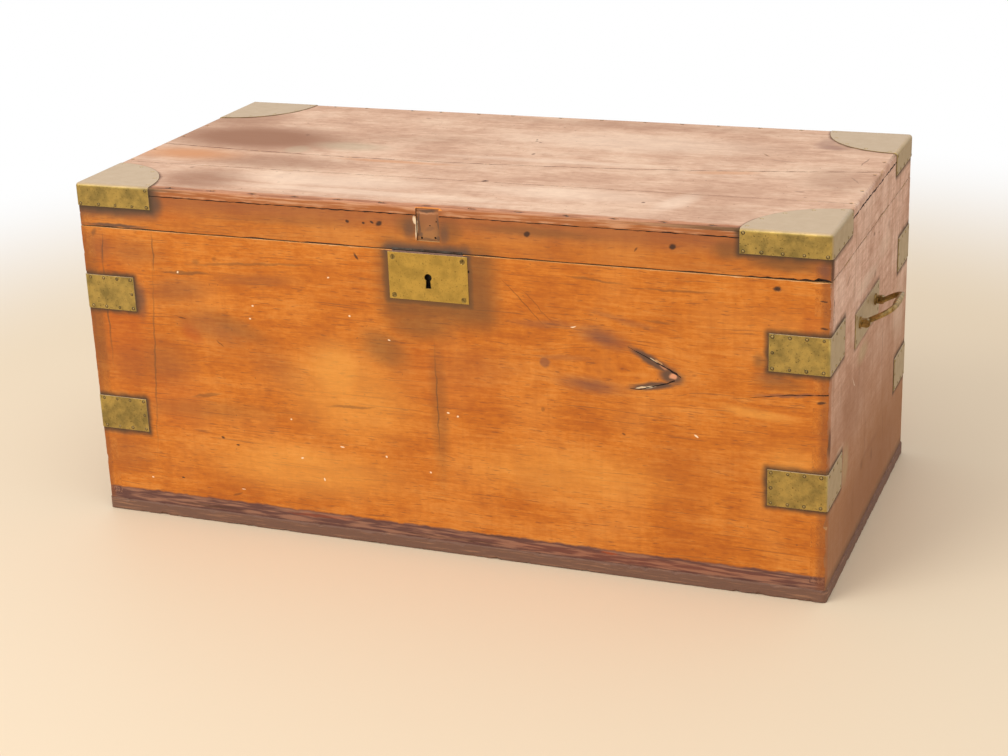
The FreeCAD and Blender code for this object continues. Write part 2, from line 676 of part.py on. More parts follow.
def hinge_leaf(name, side, z_low, z_high, own):
    """One leaf with its share of the knuckles; own holds the indexes of its knuckles."""
    centre = f"{side} * sizes.hinge_offset"
    start = f"({centre} - sizes.hinge_length / 2)"
    pitch = "(sizes.hinge_length / sizes.knuckle_count)"
    pieces = [block(name + "_flap", (start, f"{HALF_D} - sizes.hinge_leaf_width", z_low),
                    (f"{start} + sizes.hinge_length", HALF_D, z_high))]
    for i in own:
        low = f"({start} + {i} * {pitch} + sizes.knuckle_gap / 2)"
        length = f"({pitch} - sizes.knuckle_gap)"
        pieces.append(block(f"{name}_tongue_{i}", (low, f"{HALF_D} - {OVERLAP}", z_low),
                            (f"{low} + {length}", HINGE_Y, z_high)))
        pieces.append(cylinder(f"{name}_knuckle_{i}", (low, HINGE_Y, HINGE_Z), Vector(1, 0, 0),
                               "sizes.knuckle_radius", length))
    bore = cylinder(name + "_bore", (f"{start} - {FAR}", HINGE_Y, HINGE_Z), Vector(1, 0, 0),
                    "sizes.hinge_pin_radius + sizes.pin_clearance", f"sizes.hinge_length + 2 * {FAR}")
    return join(name + "_blank", pieces), bore


hinge_seats = {"case": [], "lid": []}
knuckles = int(SIZES["knuckle_count"])
for side_name, side in (("left", -1), ("right", 1)):
    centre = f"{side} * sizes.hinge_offset"
    half = f"(sizes.hinge_length / 2 + {fit})"
    for part, low, high, first in (
            ("case", f"{CASE_HIGH} - sizes.hinge_leaf_thick", CASE_HIGH, 0),
            ("lid", LID_LOW, f"{LID_LOW} + sizes.hinge_leaf_thick", 1)):
        name = f"{side_name}_hinge_{part}_leaf"
        blank, bore = hinge_leaf(name, side, low, high, range(first, knuckles, 2))
        tools = join(name + "_tools", [bore] + hinge_holes[f"{side_name}_{part}"])
        node(cut(name, blank, tools), name)
        seat_low, seat_high = (low, f"{high} + {FAR}") if part == "case" else (f"{low} - {FAR}", high)
        hinge_seats[part].append(block(
            name + "_seat", (f"{centre} - {half}", f"{HALF_D} - sizes.hinge_leaf_width - {fit}", seat_low),
            (f"{centre} + {half}", f"{HALF_D} + {FAR}", seat_high)))
    pin_start = (f"{centre} - sizes.hinge_length / 2", HINGE_Y, HINGE_Z)
    pin = cylinder(f"{side_name}_hinge_pin", pin_start, Vector(1, 0, 0), "sizes.hinge_pin_radius",
                   "sizes.hinge_length")
    node(pin, f"{side_name}_hinge_pin")

case_hinge_screws = [link for link in hinge_screws if "_case_" in link.Name]
lid_hinge_screws = [link for link in hinge_screws if "_lid_" in link.Name]
node(group("case_hinge_screws", case_hinge_screws), "case_hinge_screws")
node(group("lid_hinge_screws", lid_hinge_screws), "lid_hinge_screws")


# ---------------------------------------------------------------- handles

def handle_plate(name, side, outside, grow):
    """The flush plate behind a handle's lugs, or the seat for it in the end board."""
    depths = [f"{side} * ({HALF_W} - {LET_IN})", f"{side} * ({HALF_W} + {outside})"]
    if side < 0:
        depths.reverse()
    half = f"({HANDLE_HALF} + {grow})"
    return block(name,
                 (depths[0], f"{HANDLE_Y} - {half}", f"{HANDLE_Z} - sizes.handle_plate_drop - {grow}"),
                 (depths[1], f"{HANDLE_Y} + {half}", f"{HANDLE_Z} + sizes.handle_plate_rise + {grow}"))


def handle_lug(name, side, y):
    """Cast lug: shank through the plate, round boss, stem and a bored barrel for the bail's end."""
    body = new_body(name)
    face_x = f"{side} * ({HALF_W} + sizes.brass_proud)"
    for form, radius, length, reverse in (
            ("boss", "sizes.lug_boss_radius", "sizes.lug_boss_thick", side < 0),
            ("shank", "sizes.lug_shank_radius", "sizes.lug_shank_length", side > 0)):
        sketch = new_sketch(body, f"{name}_{form}", "YZ_Plane", face_x)
        add_circle(sketch, (y, HANDLE_Z), radius)
        pad(body, sketch, length, reverse)
    pivot_x = f"{side} * ({HALF_W} + sizes.handle_standoff)"
    back_y = f"-({y} + sizes.lug_width / 2)"
    stem_half = "sizes.lug_stem_height / 2"
    stem_sketch = new_sketch(body, name + "_stem", "XZ_Plane", back_y)
    add_rectangle(stem_sketch, (face_x, f"{HANDLE_Z} - {stem_half}"), (pivot_x, f"{HANDLE_Z} + {stem_half}"))
    pad(body, stem_sketch, "sizes.lug_width")
    barrel_sketch = new_sketch(body, name + "_barrel", "XZ_Plane", back_y)
    add_circle(barrel_sketch, (pivot_x, HANDLE_Z), "sizes.lug_barrel_radius")
    pad(body, barrel_sketch, "sizes.lug_width")
    bore_sketch = new_sketch(body, name + "_bore", "XZ_Plane", back_y)
    add_circle(bore_sketch, (pivot_x, HANDLE_Z), "sizes.bail_rod_radius + 2 * sizes.pin_clearance")
    pocket(body, bore_sketch, "sizes.lug_width", reverse=True)
    return body


handle_seats = {}
for side_name, side in (("left", -1), ("right", 1)):
    plate_name = f"{side_name}_handle_backplate"
    shank_holes = []
    for end_name, end in (("front", -1), ("rear", 1)):
        lug_name = f"{side_name}_handle_{end_name}_lug"
        lug_y = f"({HANDLE_Y} + {end} * sizes.handle_spacing / 2)"
        node(handle_lug(lug_name, side, lug_y), lug_name)
        mouth = (f"{side} * ({HALF_W} + {FAR})", lug_y, HANDLE_Z)
        shank_holes.append(cylinder(
            lug_name + "_hole", mouth, Vector(-side, 0, 0), "sizes.lug_shank_radius + sizes.screw_clearance",
            f"{FAR} - sizes.brass_proud + sizes.lug_shank_length + sizes.screw_clearance"))
    holes = join(plate_name + "_holes", handle_holes[side_name] + shank_holes)
    blank = handle_plate(plate_name + "_blank", side, "sizes.brass_proud", "0")
    node(cut(plate_name, blank, holes), plate_name)
    seat = handle_plate(plate_name + "_seat", side, f"{FAR}", fit)
    handle_seats[side_name] = join(plate_name + "_seats", [seat, holes])
node(group("handle_plate_screws", handle_screws), "handle_plate_screws")


def bail_path(sketch):
    """Centre line: stub, arm, grip, arm, stub, joined by tangent arcs."""
    arm = (SIZES["handle_spacing"] - SIZES["lug_width"]) / 2 - SIZES["bail_bend_radius"] \
        - SIZES["bail_end_play"]
    stub = (SIZES["handle_spacing"] + SIZES["lug_width"]) / 2 + SIZES["bail_stub_proud"]
    reach = SIZES["bail_reach"]
    corners = [Vector(0, -stub, 0), Vector(0, -arm, 0), Vector(reach, -arm, 0),
               Vector(reach, arm, 0), Vector(0, arm, 0), Vector(0, stub, 0)]
    radii = [SIZES["bail_bend_radius"], SIZES["bail_corner_radius"],
             SIZES["bail_corner_radius"], SIZES["bail_bend_radius"]]
    start = corners[0]
    for i, radius in enumerate(radii, start=1):
        before = (corners[i - 1] - corners[i]).normalize()
        after = (corners[i + 1] - corners[i]).normalize()
        entry = corners[i] + before * radius
        leave = corners[i] + after * radius
        middle = corners[i] + (before + after) * (radius * (1 - math.sqrt(0.5)))
        sketch.addGeometry(Part.LineSegment(start, entry), False)
        sketch.addGeometry(Part.Arc(entry, middle, leave), False)
        start = leave
    sketch.addGeometry(Part.LineSegment(start, corners[-1]), False)
    count = sketch.GeometryCount
    ends = {}
    for index in range(count):
        for position in (1, 2):
            point = sketch.getPoint(index, position)
            key = (round(point.x, 4), round(point.y, 4))
            if key in ends:
                sketch.addConstraint(Sketcher.Constraint("Coincident", *ends[key], index, position))
            ends[key] = (index, position)
    sketch.addConstraint([Sketcher.Constraint("Block", index) for index in range(count)])


def bail(name, side, turn):
    """Bent rod with a swelled grip, drawn flat and then turned about the pivot line."""
    body = new_body(name + "_body")
    line = new_sketch(body, name + "_line", "XY_Plane")
    bail_path(line)
    stub_end = "-((sizes.handle_spacing + sizes.lug_width) / 2 + sizes.bail_stub_proud)"
    section = new_sketch(body, name + "_section", "XZ_Plane", f"-({stub_end})")
    add_circle(section, ("0", "0"), "sizes.bail_rod_radius")
    rod = body.newObject("PartDesign::AdditivePipe", name + "_rod")
    rod.Profile = section
    rod.Spine = (line, [])
    grip = body.newObject("PartDesign::AdditiveEllipsoid", name + "_grip")
    grip.setExpression("Radius1", "sizes.bail_grip_radius")
    grip.setExpression("Radius2", "sizes.bail_grip_radius")
    grip.setExpression("Radius3", "sizes.bail_grip_half_length")
    grip.setExpression("Placement.Base.x", "sizes.bail_reach")
    pivot = (f"{side} * ({HALF_W} + sizes.handle_standoff)", HANDLE_Y, HANDLE_Z)
    place(body, pivot, Rotation(Vector(0, 1, 0), SIZES["right_bail_raise"]))    # sets the axis
    body.setExpression("Placement.Rotation.Angle", turn)
    return body


node(bail("right_bail", 1, "(360 - sizes.right_bail_raise) * 1 deg"), "right_bail")
node(bail("left_bail", -1, "(180 + sizes.left_bail_raise) * 1 deg"), "left_bail")


# ---------------------------------------------------------------- wood of the case

def board(name, blank, shape, tools):
    """A blank trimmed to the worn outer shape and cut for its fittings."""
    trimmed = common(name + "_trimmed", blank, shape)
    return node(cut(name, trimmed, group(name + "_tools", tools)), name)


def corner_tools(table, *names):
    found = []
    for name in names:
        entry = table[name]
        found += entry if isinstance(entry, list) else [entry]
    return found


front_tools = corner_tools(strap_recesses, "front_left", "front_right")
lock_tools = [join("lock_seats", [mortise, plate_seat, selvage_seat])]
board("front_board", side_blank("front_blank", True, *case_joint), case_shape,
      front_tools + lock_tools + lock_holes["plate"])
back_tools = corner_tools(strap_recesses, "back_left", "back_right")
back_seats = join("back_seats", hinge_seats["case"] + hinge_holes["left_case"] + hinge_holes["right_case"])
board("back_board", side_blank("back_blank", False, *case_joint), case_shape, back_tools + [back_seats])
for side_name, x_low in (("left", f"-{HALF_W}"), ("right", f"{HALF_W} - {THICK}")):
    blank = end_blank(f"{side_name}_end_blank", x_low, *case_joint)
    board(f"{side_name}_end_board", blank, case_shape,
          corner_tools(strap_recesses, f"front_{side_name}", f"back_{side_name}")
          + [handle_seats[side_name]])

edge = "sizes.bottom_overhang"
bottom_shape = rounded_block("bottom_shape", (f"-{HALF_W} - {edge}", f"-{HALF_D} - {edge}", "0"),
                             (f"{HALF_W} + {edge}", f"{HALF_D} + {edge}", CASE_LOW),
                             "sizes.bottom_corner_round", is_upright)
seam = "sizes.bottom_seam_back"
for name, y_low, y_high in (
        ("bottom_board_front", f"-{HALF_D} - {FAR}", f"{seam} - sizes.seam_gap / 2"),
        ("bottom_board_back", f"{seam} + sizes.seam_gap / 2", f"{HALF_D} + {FAR}")):
    plank = block(name + "_plank", (f"-{HALF_W} - {FAR}", y_low, f"-{FAR}"),
                  (f"{HALF_W} + {FAR}", y_high, f"{CASE_LOW} + {FAR}"))
    node(common(name, bottom_shape, plank), name)


# ---------------------------------------------------------------- wood of the lid

board("lid_front_rail", side_blank("lid_front_blank", True, *lid_joint), lid_shape,
      corner_tools(bracket_recesses, "front_left", "front_right") + [link_seat, hasp_seat])
lid_seats = join("lid_seats", hinge_seats["lid"] + hinge_holes["left_lid"] + hinge_holes["right_lid"])
board("lid_back_rail", side_blank("lid_back_blank", False, *lid_joint), lid_shape,
      corner_tools(bracket_recesses, "back_left", "back_right") + [lid_seats])
for side_name, x_low in (("left", f"-{HALF_W}"), ("right", f"{HALF_W} - {THICK}")):
    blank = end_blank(f"lid_{side_name}_blank", x_low, *lid_joint)
    board(f"lid_{side_name}_rail", blank, lid_shape,
          corner_tools(bracket_recesses, f"front_{side_name}", f"back_{side_name}"))

# The back seam is an arc that bows towards the front; its circle's centre lies far behind.
back_rise = "(sizes.back_seam_right - sizes.back_seam_left)"
chord = f"sqrt(sizes.case_width ^ 2 + {back_rise} ^ 2)"
seam_radius = f"(({chord} ^ 2 / 4 + sizes.back_seam_bow ^ 2) / (2 * sizes.back_seam_bow))"
centre_reach = f"({seam_radius} - sizes.back_seam_bow)"
seam_centre = (f"-{centre_reach} * {back_rise} / {chord}",
               f"-{HALF_D} + (sizes.back_seam_left + sizes.back_seam_right) / 2"
               f" + {centre_reach} * sizes.case_width / {chord}", f"{RAIL_HIGH} - {FAR}")
gap_half = "sizes.seam_gap / 2"
behind_seam = cylinder("behind_back_seam", seam_centre, Vector(0, 0, 1), f"{seam_radius} - {gap_half}",
                       f"sizes.top_board_thick + 2 * {FAR}")
upto_seam = cylinder("upto_back_seam", seam_centre, Vector(0, 0, 1), f"{seam_radius} + {gap_half}",
                     f"sizes.top_board_thick + 2 * {FAR}")


def top_blank(name, corners):
    body = new_body(name)
    sketch = new_sketch(body, name + "_outline", "XY_Plane", RAIL_HIGH)
    add_polygon(sketch, corners)
    pad(body, sketch, "sizes.top_board_thick")
    return body


front_left = f"-{HALF_D} + sizes.front_seam_left"
front_right = f"-{HALF_D} + sizes.front_seam_right"
front_plan = [(f"-{HALF_W}", f"-{HALF_D}"), (HALF_W, f"-{HALF_D}"),
              (HALF_W, f"{front_right} - {gap_half}"), (f"-{HALF_W}", f"{front_left} - {gap_half}")]
rest_plan = [(f"-{HALF_W}", f"{front_left} + {gap_half}"), (HALF_W, f"{front_right} + {gap_half}"),
             (HALF_W, HALF_D), (f"-{HALF_W}", HALF_D)]
board("top_board_front", top_blank("top_front_blank", front_plan), lid_shape,
      corner_tools(bracket_recesses, "front_left", "front_right") + [hasp_seat])
back_corners = corner_tools(bracket_recesses, "back_left", "back_right")
middle_blank = cut("top_middle_cut", top_blank("top_middle_blank", rest_plan), upto_seam)
trimmed_middle = common("top_middle_trimmed", middle_blank, lid_shape)
node(trimmed_middle, "top_board_middle")
back_blank = common("top_back_cut", top_blank("top_back_blank", rest_plan), behind_seam)
board("top_board_back", back_blank, lid_shape, back_corners)


# ---------------------------------------------------------------- check and write

doc.recompute()
for item in doc.Objects:
    if "Invalid" in item.State or "Error" in item.State:
        raise RuntimeError(f"{item.Label} did not build: {item.State}")
for item in nodes:
    if item.Shape.isNull() or not item.Shape.isValid() or not item.Shape.Solids:
        raise RuntimeError(f"{item.Label} has no valid solid")

os.makedirs("parts", exist_ok=True)
for item in nodes:
    item.Shape.exportStep(f"parts/{item.Label}.step")
    print(f"{item.Label}: {len(item.Shape.Solids)} solid(s), {item.Shape.Volume / 1000:.2f} cm3")
print(f"{len(nodes)} sub-parts")
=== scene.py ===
"""Campaign chest: finishes, worn edges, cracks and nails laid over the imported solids.

Places on the chest are in millimetres from its front left bottom corner, as seen from the front: X to the right,
Y to the back, Z up. One function turns them into the row frame's metres.
"""

import json
import logging
import math
import random
from dataclasses import dataclass
from enum import Enum
from typing import Iterable, Sequence

import bmesh
import bpy
from bpy.types import ID, Material, Node, NodeSocket, NodeTree, Object, World
from mathutils import Matrix, Vector


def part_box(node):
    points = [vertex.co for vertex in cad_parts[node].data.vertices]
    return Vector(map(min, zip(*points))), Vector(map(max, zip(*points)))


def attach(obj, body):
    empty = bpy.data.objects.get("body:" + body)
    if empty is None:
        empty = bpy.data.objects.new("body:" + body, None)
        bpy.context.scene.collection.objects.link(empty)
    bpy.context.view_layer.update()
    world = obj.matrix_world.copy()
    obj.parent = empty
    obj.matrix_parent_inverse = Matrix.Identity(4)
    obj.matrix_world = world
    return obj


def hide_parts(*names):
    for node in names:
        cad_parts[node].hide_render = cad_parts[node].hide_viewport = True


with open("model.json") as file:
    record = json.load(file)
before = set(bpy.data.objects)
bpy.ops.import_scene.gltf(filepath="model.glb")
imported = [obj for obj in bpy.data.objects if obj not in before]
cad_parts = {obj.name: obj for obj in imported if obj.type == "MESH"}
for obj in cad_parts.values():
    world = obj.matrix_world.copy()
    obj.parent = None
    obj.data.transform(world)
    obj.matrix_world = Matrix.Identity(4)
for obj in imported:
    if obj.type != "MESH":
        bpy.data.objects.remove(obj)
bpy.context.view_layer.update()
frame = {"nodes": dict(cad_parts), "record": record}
log = logging.getLogger("campaign_chest")

MM = 0.001
CASE_LOW, CASE_HIGH = (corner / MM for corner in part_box("right_end_board"))
INNER_LOW, INNER_HIGH = (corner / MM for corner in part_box("front_board"))
TOP_LOW, TOP_HIGH = (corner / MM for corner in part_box("top_board_middle"))
CORNER = Vector(((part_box("left_end_board")[0] / MM).x, CASE_LOW.y, 0.0))    # the front left bottom corner
WIDTH = CASE_HIGH.x - CORNER.x
DEPTH = CASE_HIGH.y - CORNER.y
BOARD = INNER_HIGH.y - INNER_LOW.y
BOTTOM = CASE_LOW.z
PARTING = CASE_HIGH.z
LID_EDGE = (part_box("lid_right_rail")[0] / MM).z
TOP_SEAM = TOP_LOW.z
HEIGHT = TOP_HIGH.z

Feed = Node | NodeSocket | tuple | float      # what an input takes; a node gives its first output


def place(x: float, y: float, z: float) -> Vector:
    """A place on the chest, in metres in the row frame.

    Args:
        x: Millimetres from the left face.
        y: Millimetres from the front face.
        z: Millimetres from the floor.

    Returns:
        The point.
    """
    return (Vector((x, y, z)) + CORNER) * MM


def linear(colour: str) -> tuple[float, float, float, float]:
    """The linear RGBA of an sRGB hex colour.

    Args:
        colour: Six hex digits after a hash.

    Returns:
        Red, green, blue and an alpha of one.
    """
    channels = [int(colour[i:i + 2], 16) / 255 for i in (1, 3, 5)]
    bright = [c / 12.92 if c <= 0.04045 else ((c + 0.055) / 1.055) ** 2.4 for c in channels]
    return (*bright, 1.0)


def add(tree: NodeTree, kind: str, inputs: dict | None = None, **settings: object) -> Node:
    """Adds a node with its settings, values and links.

    Args:
        tree: The tree that gets the node.
        kind: The node's type; a shader node goes without its family's name.
        inputs: Socket name or number to a value, an output, or a node whose first output feeds it.
        **settings: Properties of the node, set before its inputs.

    Returns:
        The new node.
    """
    made = tree.nodes.new(kind if "Node" in kind else "ShaderNode" + kind)
    for name, value in settings.items():
        setattr(made, name, value)
    for key, value in (inputs or {}).items():
        source = value.outputs[0] if isinstance(value, Node) else value
        if isinstance(source, NodeSocket):
            tree.links.new(source, made.inputs[key])
        else:
            made.inputs[key].default_value = source
    return made


def emptied(block: Material | World) -> NodeTree:
    """Gives a material or a world an empty node tree.

    Args:
        block: The material or world.

    Returns:
        Its tree.
    """
    block.use_nodes = True
    block.node_tree.nodes.clear()
    return block.node_tree


def put(name: str, data: ID) -> Object:
    """Puts a new object into the scene.

    Args:
        name: Its name.
        data: Its mesh, lamp or camera.

    Returns:
        The object.
    """
    made = bpy.data.objects.new(name, data)
    bpy.context.scene.collection.objects.link(made)
    return made


def applied(piece: Object) -> None:
    """Turns what a piece's modifier makes into its plain mesh.

    Args:
        piece: The piece; the mesh takes its name.
    """
    piece.data = bpy.data.meshes.new_from_object(piece.evaluated_get(bpy.context.evaluated_depsgraph_get()))
    piece.data.name = piece.name
    piece.modifiers.clear()


# ---------------------------------------------------------------- faces and marks

class Face(Enum):
    """The faces of the chest that are painted and carved."""
    FRONT = "front"
    BACK = "back"
    LEFT = "left"
    RIGHT = "right"
    TOP = "top"
    BOTTOM = "bottom"


def on_face(face: Face, u: float, v: float, out: float = 0.0) -> Vector:
    """A place on a face of the chest.

    Args:
        face: The face.
        u: Millimetres along it: from the left on the front, back, top and bottom, from the front on the ends.
        v: Millimetres up it: from the floor on the upright faces, from the front on the top and bottom.
        out: Millimetres outwards from the wood's face.

    Returns:
        The point in metres in the row frame.
    """
    places = {
        Face.FRONT: (u, -out, v), Face.BACK: (u, DEPTH + out, v),
        Face.LEFT: (-out, u, v), Face.RIGHT: (WIDTH + out, u, v),
        Face.TOP: (u, v, HEIGHT + out), Face.BOTTOM: (u, v, -out),
    }
    return place(*places[face])


@dataclass(frozen=True)
class Mark:
    """One stain, spot, scratch or line of painted shade: an ellipse on a face, in millimetres."""
    u: float
    v: float
    length: float               # half of it
    width: float                # half of it
    strength: float = 1.0
    turn: float = 0.0           # degrees, anticlockwise
    soft: float = 0.6           # share of the radius over which it fades

    def size(self) -> tuple[float, float]:
        """How far it reaches along and up the face."""
        turn = math.radians(self.turn)
        across, up = abs(math.cos(turn)), abs(math.sin(turn))
        return self.length * across + self.width * up, self.length * up + self.width * across


@dataclass(frozen=True)
class Halo:
    """Grime and painted shade round a rectangular plate."""
    u: float
    v: float
    half_u: float
    half_v: float
    reach: float = 8.0          # millimetres from the plate's edge
    strength: float = 0.7

    def size(self) -> tuple[float, float]:
        """How far it reaches along and up the face."""
        return self.half_u + self.reach, self.half_v + self.reach


@dataclass(frozen=True)
class Layer:
    """One colour laid over a face through its marks."""
    colour: str
    marks: tuple[Mark | Halo, ...]


@dataclass(frozen=True)
class Band:
    """A colour that comes in along one axis of the chest."""
    axis: int
    start: float                # millimetres at which it begins to show
    full: float                 # millimetres at which it is at its strength
    colour: str
    strength: float
    streaky: bool = False       # scraped away in streaks


@dataclass(frozen=True)
class Look:
    """How the weathered wood looks on one side of the chest."""
    face: Face
    dark: str
    middle: str
    light: str
    roughness: float
    contrast: float             # of the grain
    mottle: float               # strength of the cloudy patches
    pores: float                # strength of the short open pores
    drips: float                # strength of the upright runs
    bands: tuple[Band, ...]
    layers: tuple[Layer, ...]


STRAPS = ((111.0, 154.0), (269.0, 312.0))
BRACKET = 100.0
LOCK = (457.5, 343.0)
FIRST_NAIL, NAIL_SPACING, TOP_NAILS = 26.0, 55.3, 13        # of the top's long sides, from the end of the bracket


def layer(colour: str, spots: dict[float, list[tuple[float, ...]]], *halos: Halo) -> Layer:
    """One colour's marks, grouped by how softly they fade.

    Args:
        colour: The colour.
        spots: Softness to marks, each with its place, half sizes, strength and turn.
        *halos: Grime round plates.

    Returns:
        The layer.
    """
    return Layer(colour, (*halos, *(Mark(*row, soft=soft) for soft, rows in spots.items() for row in rows)))


def plate_grime_and_shade(leaf: float, span: float, *others: Halo) -> Layer:
    """Dark grime and painted shade in the corners between the wood and the brass of an upright face.

    Args:
        leaf: Millimetres that a strap reaches along the face.
        span: The face's width.
        *others: Grime of the plates that only this face has.

    Returns:
        The layer.
    """
    plates = [(leaf / 2, (low + high) / 2, (high - low) / 2) for low, high in STRAPS] + [(BRACKET / 2, 413.0, 14.0)]
    return Layer("#4F3B28", (*others, *(Halo(u, v, half, half_v, 9.0, 0.95) for half, v, half_v in plates
                                        for u in (half, span - half))))


FRONT_LOOK = Look(
    Face.FRONT, dark="#A85518", middle="#CC7420", light="#DE9040", roughness=0.42, contrast=0.75, mottle=0.3,
    pores=0.55, drips=0.15,
    bands=(
        Band(2, 371, 375, "#A8642E", 0.3), Band(2, 390, 408, "#8C5236", 0.55), Band(2, 416, 418, "#A8683E", 0.45),
        Band(2, 416.5, 418.5, "#D8A27A", 0.6, True), Band(2, 32.5, 30.0, "#65423A", 1.0),
        Band(2, 31.5, 28.5, "#9C6E56", 0.9, True), Band(0, WIDTH - 13, WIDTH - 7, "#7A4326", 0.5),
        # painted shade: the front darkens towards its left edge
        Band(0, 9, 5, "#8A4A24", 0.5)),
    layers=(
        layer("#EFA94E", {
            0.8: [(332, 215, 60, 60, 0.5), (350, 190, 120, 90, 0.35), (838, 218, 60, 9, 0.4, -6),
                (878, 150, 50, 50, 0.3), (620, 120, 170, 50, 0.3), (280, 85, 190, 50, 0.4)],
        }),
        layer("#B04E1C", {
            0.6: [(668, 27, 14, 2.4, 0.6, -4), (300, 26, 60, 3, 0.3, 1)],
            0.8: [(45, 250, 60, 130, 0.35), (110, 160, 70, 60, 0.3), (142, 248, 24, 17, 0.5, -50),
                (470, 225, 120, 60, 0.2), (900, 300, 20, 60, 0.3), (100, 392, 90, 10, 0.2), (700, 22, 260, 9, 0.15)],
        }),
        layer("#8E5630", {
            0.9: [(125, 300, 70, 26, 0.55, 10), (170, 258, 80, 26, 0.55, -12), (70, 345, 60, 26, 0.45),
                (100, 205, 60, 44, 0.45), (235, 322, 90, 12, 0.4, 3), (52, 200, 60, 40, 0.3),
                (255, 215, 60, 30, 0.3, -20), (30, 80, 60, 40, 0.3), (505, 240, 80, 40, 0.2, 10)],
        }),
        layer("#6E4A2A", {
            0.6: [(230, 341, 112, 2.4, 0.45, 4), (142, 324, 44, 3.0, 0.6, 2), (350, 174, 41, 2.4, 0.5, 4),
                (154, 169, 28, 3, 0.5, 12), (657, 356, 45, 1.8, 0.5, -5), (752, 351, 52, 1.8, 0.5, 1.5),
                (730, 313.5, 22, 2.0, 0.4, -2)],
            0.8: [(398, 252, 46, 30, 0.55, -30), (445, 288, 66, 34, 0.6), (463, 180, 130, 16, 0.35, 90),
                (10, 260, 150, 16, 0.5, 90), (806, 401, 24, 16, 0.6), (870, 390, 60, 12, 0.7),
                (104, 408, 16, 26, 0.7), (50, 394, 66, 9, 0.6), (437, 402, 26, 22, 0.55), (486, 398, 26, 24, 0.55),
                (98, 345, 34, 1.6, 0.7, 88), (28, 345, 26, 1.6, 0.8, 84), (18, 366, 9, 5, 0.6, 60),
                (156, 338, 8, 6, 0.4), (280, 398, 130, 9, 0.2, 1), (590, 406, 110, 9, 0.45, -1),
                (870, 255, 44, 14, 0.4), (205, 262, 70, 16, 0.3, -22), (150, 150, 160, 18, 0.25, 3)],
            0.9: [(461, 190, 112, 2.4, 0.8, 90), (86, 208, 165, 2.0, 0.6, 85.5), (26, 275, 100, 2.0, 0.8, 90),
                (842, 279, 10, 14, 0.6)],
        # grime round the lock plate, and painted shade spreading below it
        }, Halo(*LOCK, 50, 29, 16, 1.0), Halo(468, 336, 54, 32, 34, 0.7)),
        layer("#74493A", {
            0.5: [(596, 254.5, 8, 8, 0.6)],
            0.8: [(600, 300, 60, 8, 0.35, 3), (690, 312, 60, 6, 0.3, -12), (620, 262, 50, 5, 0.3, 3),
                (876, 243, 56, 3.5, 0.7, 6), (912, 386, 12, 14, 0.7), (24, 350, 24, 30, 0.35)],
            1: [(664, 290, 46, 17, 0.75, -13), (650, 232, 60, 15, 0.7, -4)],
        }),
        layer("#5E4638", {
            0.6: [(722, 268, 40, 8.5, 0.95, -27), (722, 238.5, 38, 6.5, 0.95, 9), (450, 393, 5, 4, 0.7),
                (472, 390, 5, 4, 0.7), (449, 405, 1.6, 20, 0.8), (473, 405, 1.6, 14, 0.6, 8), (460, 421, 16, 3, 0.9),
                (462, 400, 8, 3, 0.35, 8), (460, 388, 13, 2, 0.5)],
            0.7: [(744, 252, 21, 14, 0.95, -20), (50, 376.5, 60, 3.4, 0.9)],
            0.9: [(438, 399, 12, 20, 0.65), (479, 395, 10, 20, 0.65), (107, 405, 16, 20, 0.8),
                (74, 284, 13, 34, 0.75), (872, 413, 60, 20, 0.45), (855, 262, 30, 12, 0.35), (20, 108, 50, 8, 0.5)],
        # grime and painted shade along the lid's lower edge above the lock and round the left bracket
        }, Halo(457.5, 374, 46, 1.0, 13, 0.95), Halo(50, 413, 50, 14, 20, 0.9)),
        layer("#4A2E1E", {
            0.6: [(862, 362, 6, 4), (579, 403, 5, 4), (746, 401, 5, 4.4), (399, 403, 6, 4, 1, 20), (380, 402, 3, 2),
                (360, 403, 3, 2.5), (391, 404, 2.5, 2), (368, 362, 7, 2, 0.9, -60), (129.5, 266.5, 8, 1.2, 0.7, -11),
                (179.5, 238, 8, 0.9, 0.6, -43), (172, 115, 4, 2, 0.9, -10), (191, 107, 3, 1.4), (109, 55, 4, 1.3),
                (592, 197, 3, 3, 0.4), (688, 177, 3, 1.3, 0.7, -20), (705, 394, 4, 1.2, 0.7, 60),
                (506, 329, 2, 5, 0.6), (572, 323, 46, 0.9, 0.5, -45.4), (589, 320, 36, 0.7, 0.45, -45),
                (912, 352, 5, 1.4, 0.9, 5), (913, 322, 6, 1.6, 0.9, -4), (911, 238, 7, 2.0, 0.9, 8),
                (185, 41, 9, 2.2, 0.5, 15), (150, 20, 60, 3, 0.45, 1), (470, 19, 90, 2, 0.4),
                (520, 30, 50, 1.4, 0.5)],
            0.8: [(181, 344, 5, 4, 0.35)],
        }),
        layer("#F6DDB8", {
            0.4: [(714, 236.4, 14, 1.5, 0.9, 9)],
            0.5: [(444.5, 410, 3.2, 6, 0.8, 10), (445.5, 399, 1.5, 14, 0.7)],
            0.6: [(228, 290, 2, 1.4), (223, 272, 1.8, 1.4), (331, 333, 1.8, 1.5), (130, 324, 1.8, 1.4),
                (404, 263, 2, 1.4), (355, 288, 1.6, 1.6), (334, 121, 3.4, 1.3, 1, -20), (279, 100, 2.4, 1.4),
                (268, 149, 1.8, 1.4), (474, 180, 2.2, 1.6), (485, 176, 1.6, 1.4), (392, 115, 1.6, 1.8),
                (307, 76, 1.5, 2.2), (66, 49, 1.8, 1.4), (194, 49, 3.4, 0.8), (448, 102, 1.6, 1.6),
                (772, 184, 3, 1.6, 1, -35), (630, 300, 4.4, 0.9, 1, 5), (724, 269.5, 6, 1.3, 0.8, -26)],
        }),
        layer("#E09A72", {0.5: [(746, 252, 5.5, 5, 0.95)], 0.6: [(735, 262, 7, 2.4, 0.5, -30)]}),
        plate_grime_and_shade(67, WIDTH),
    ),
)
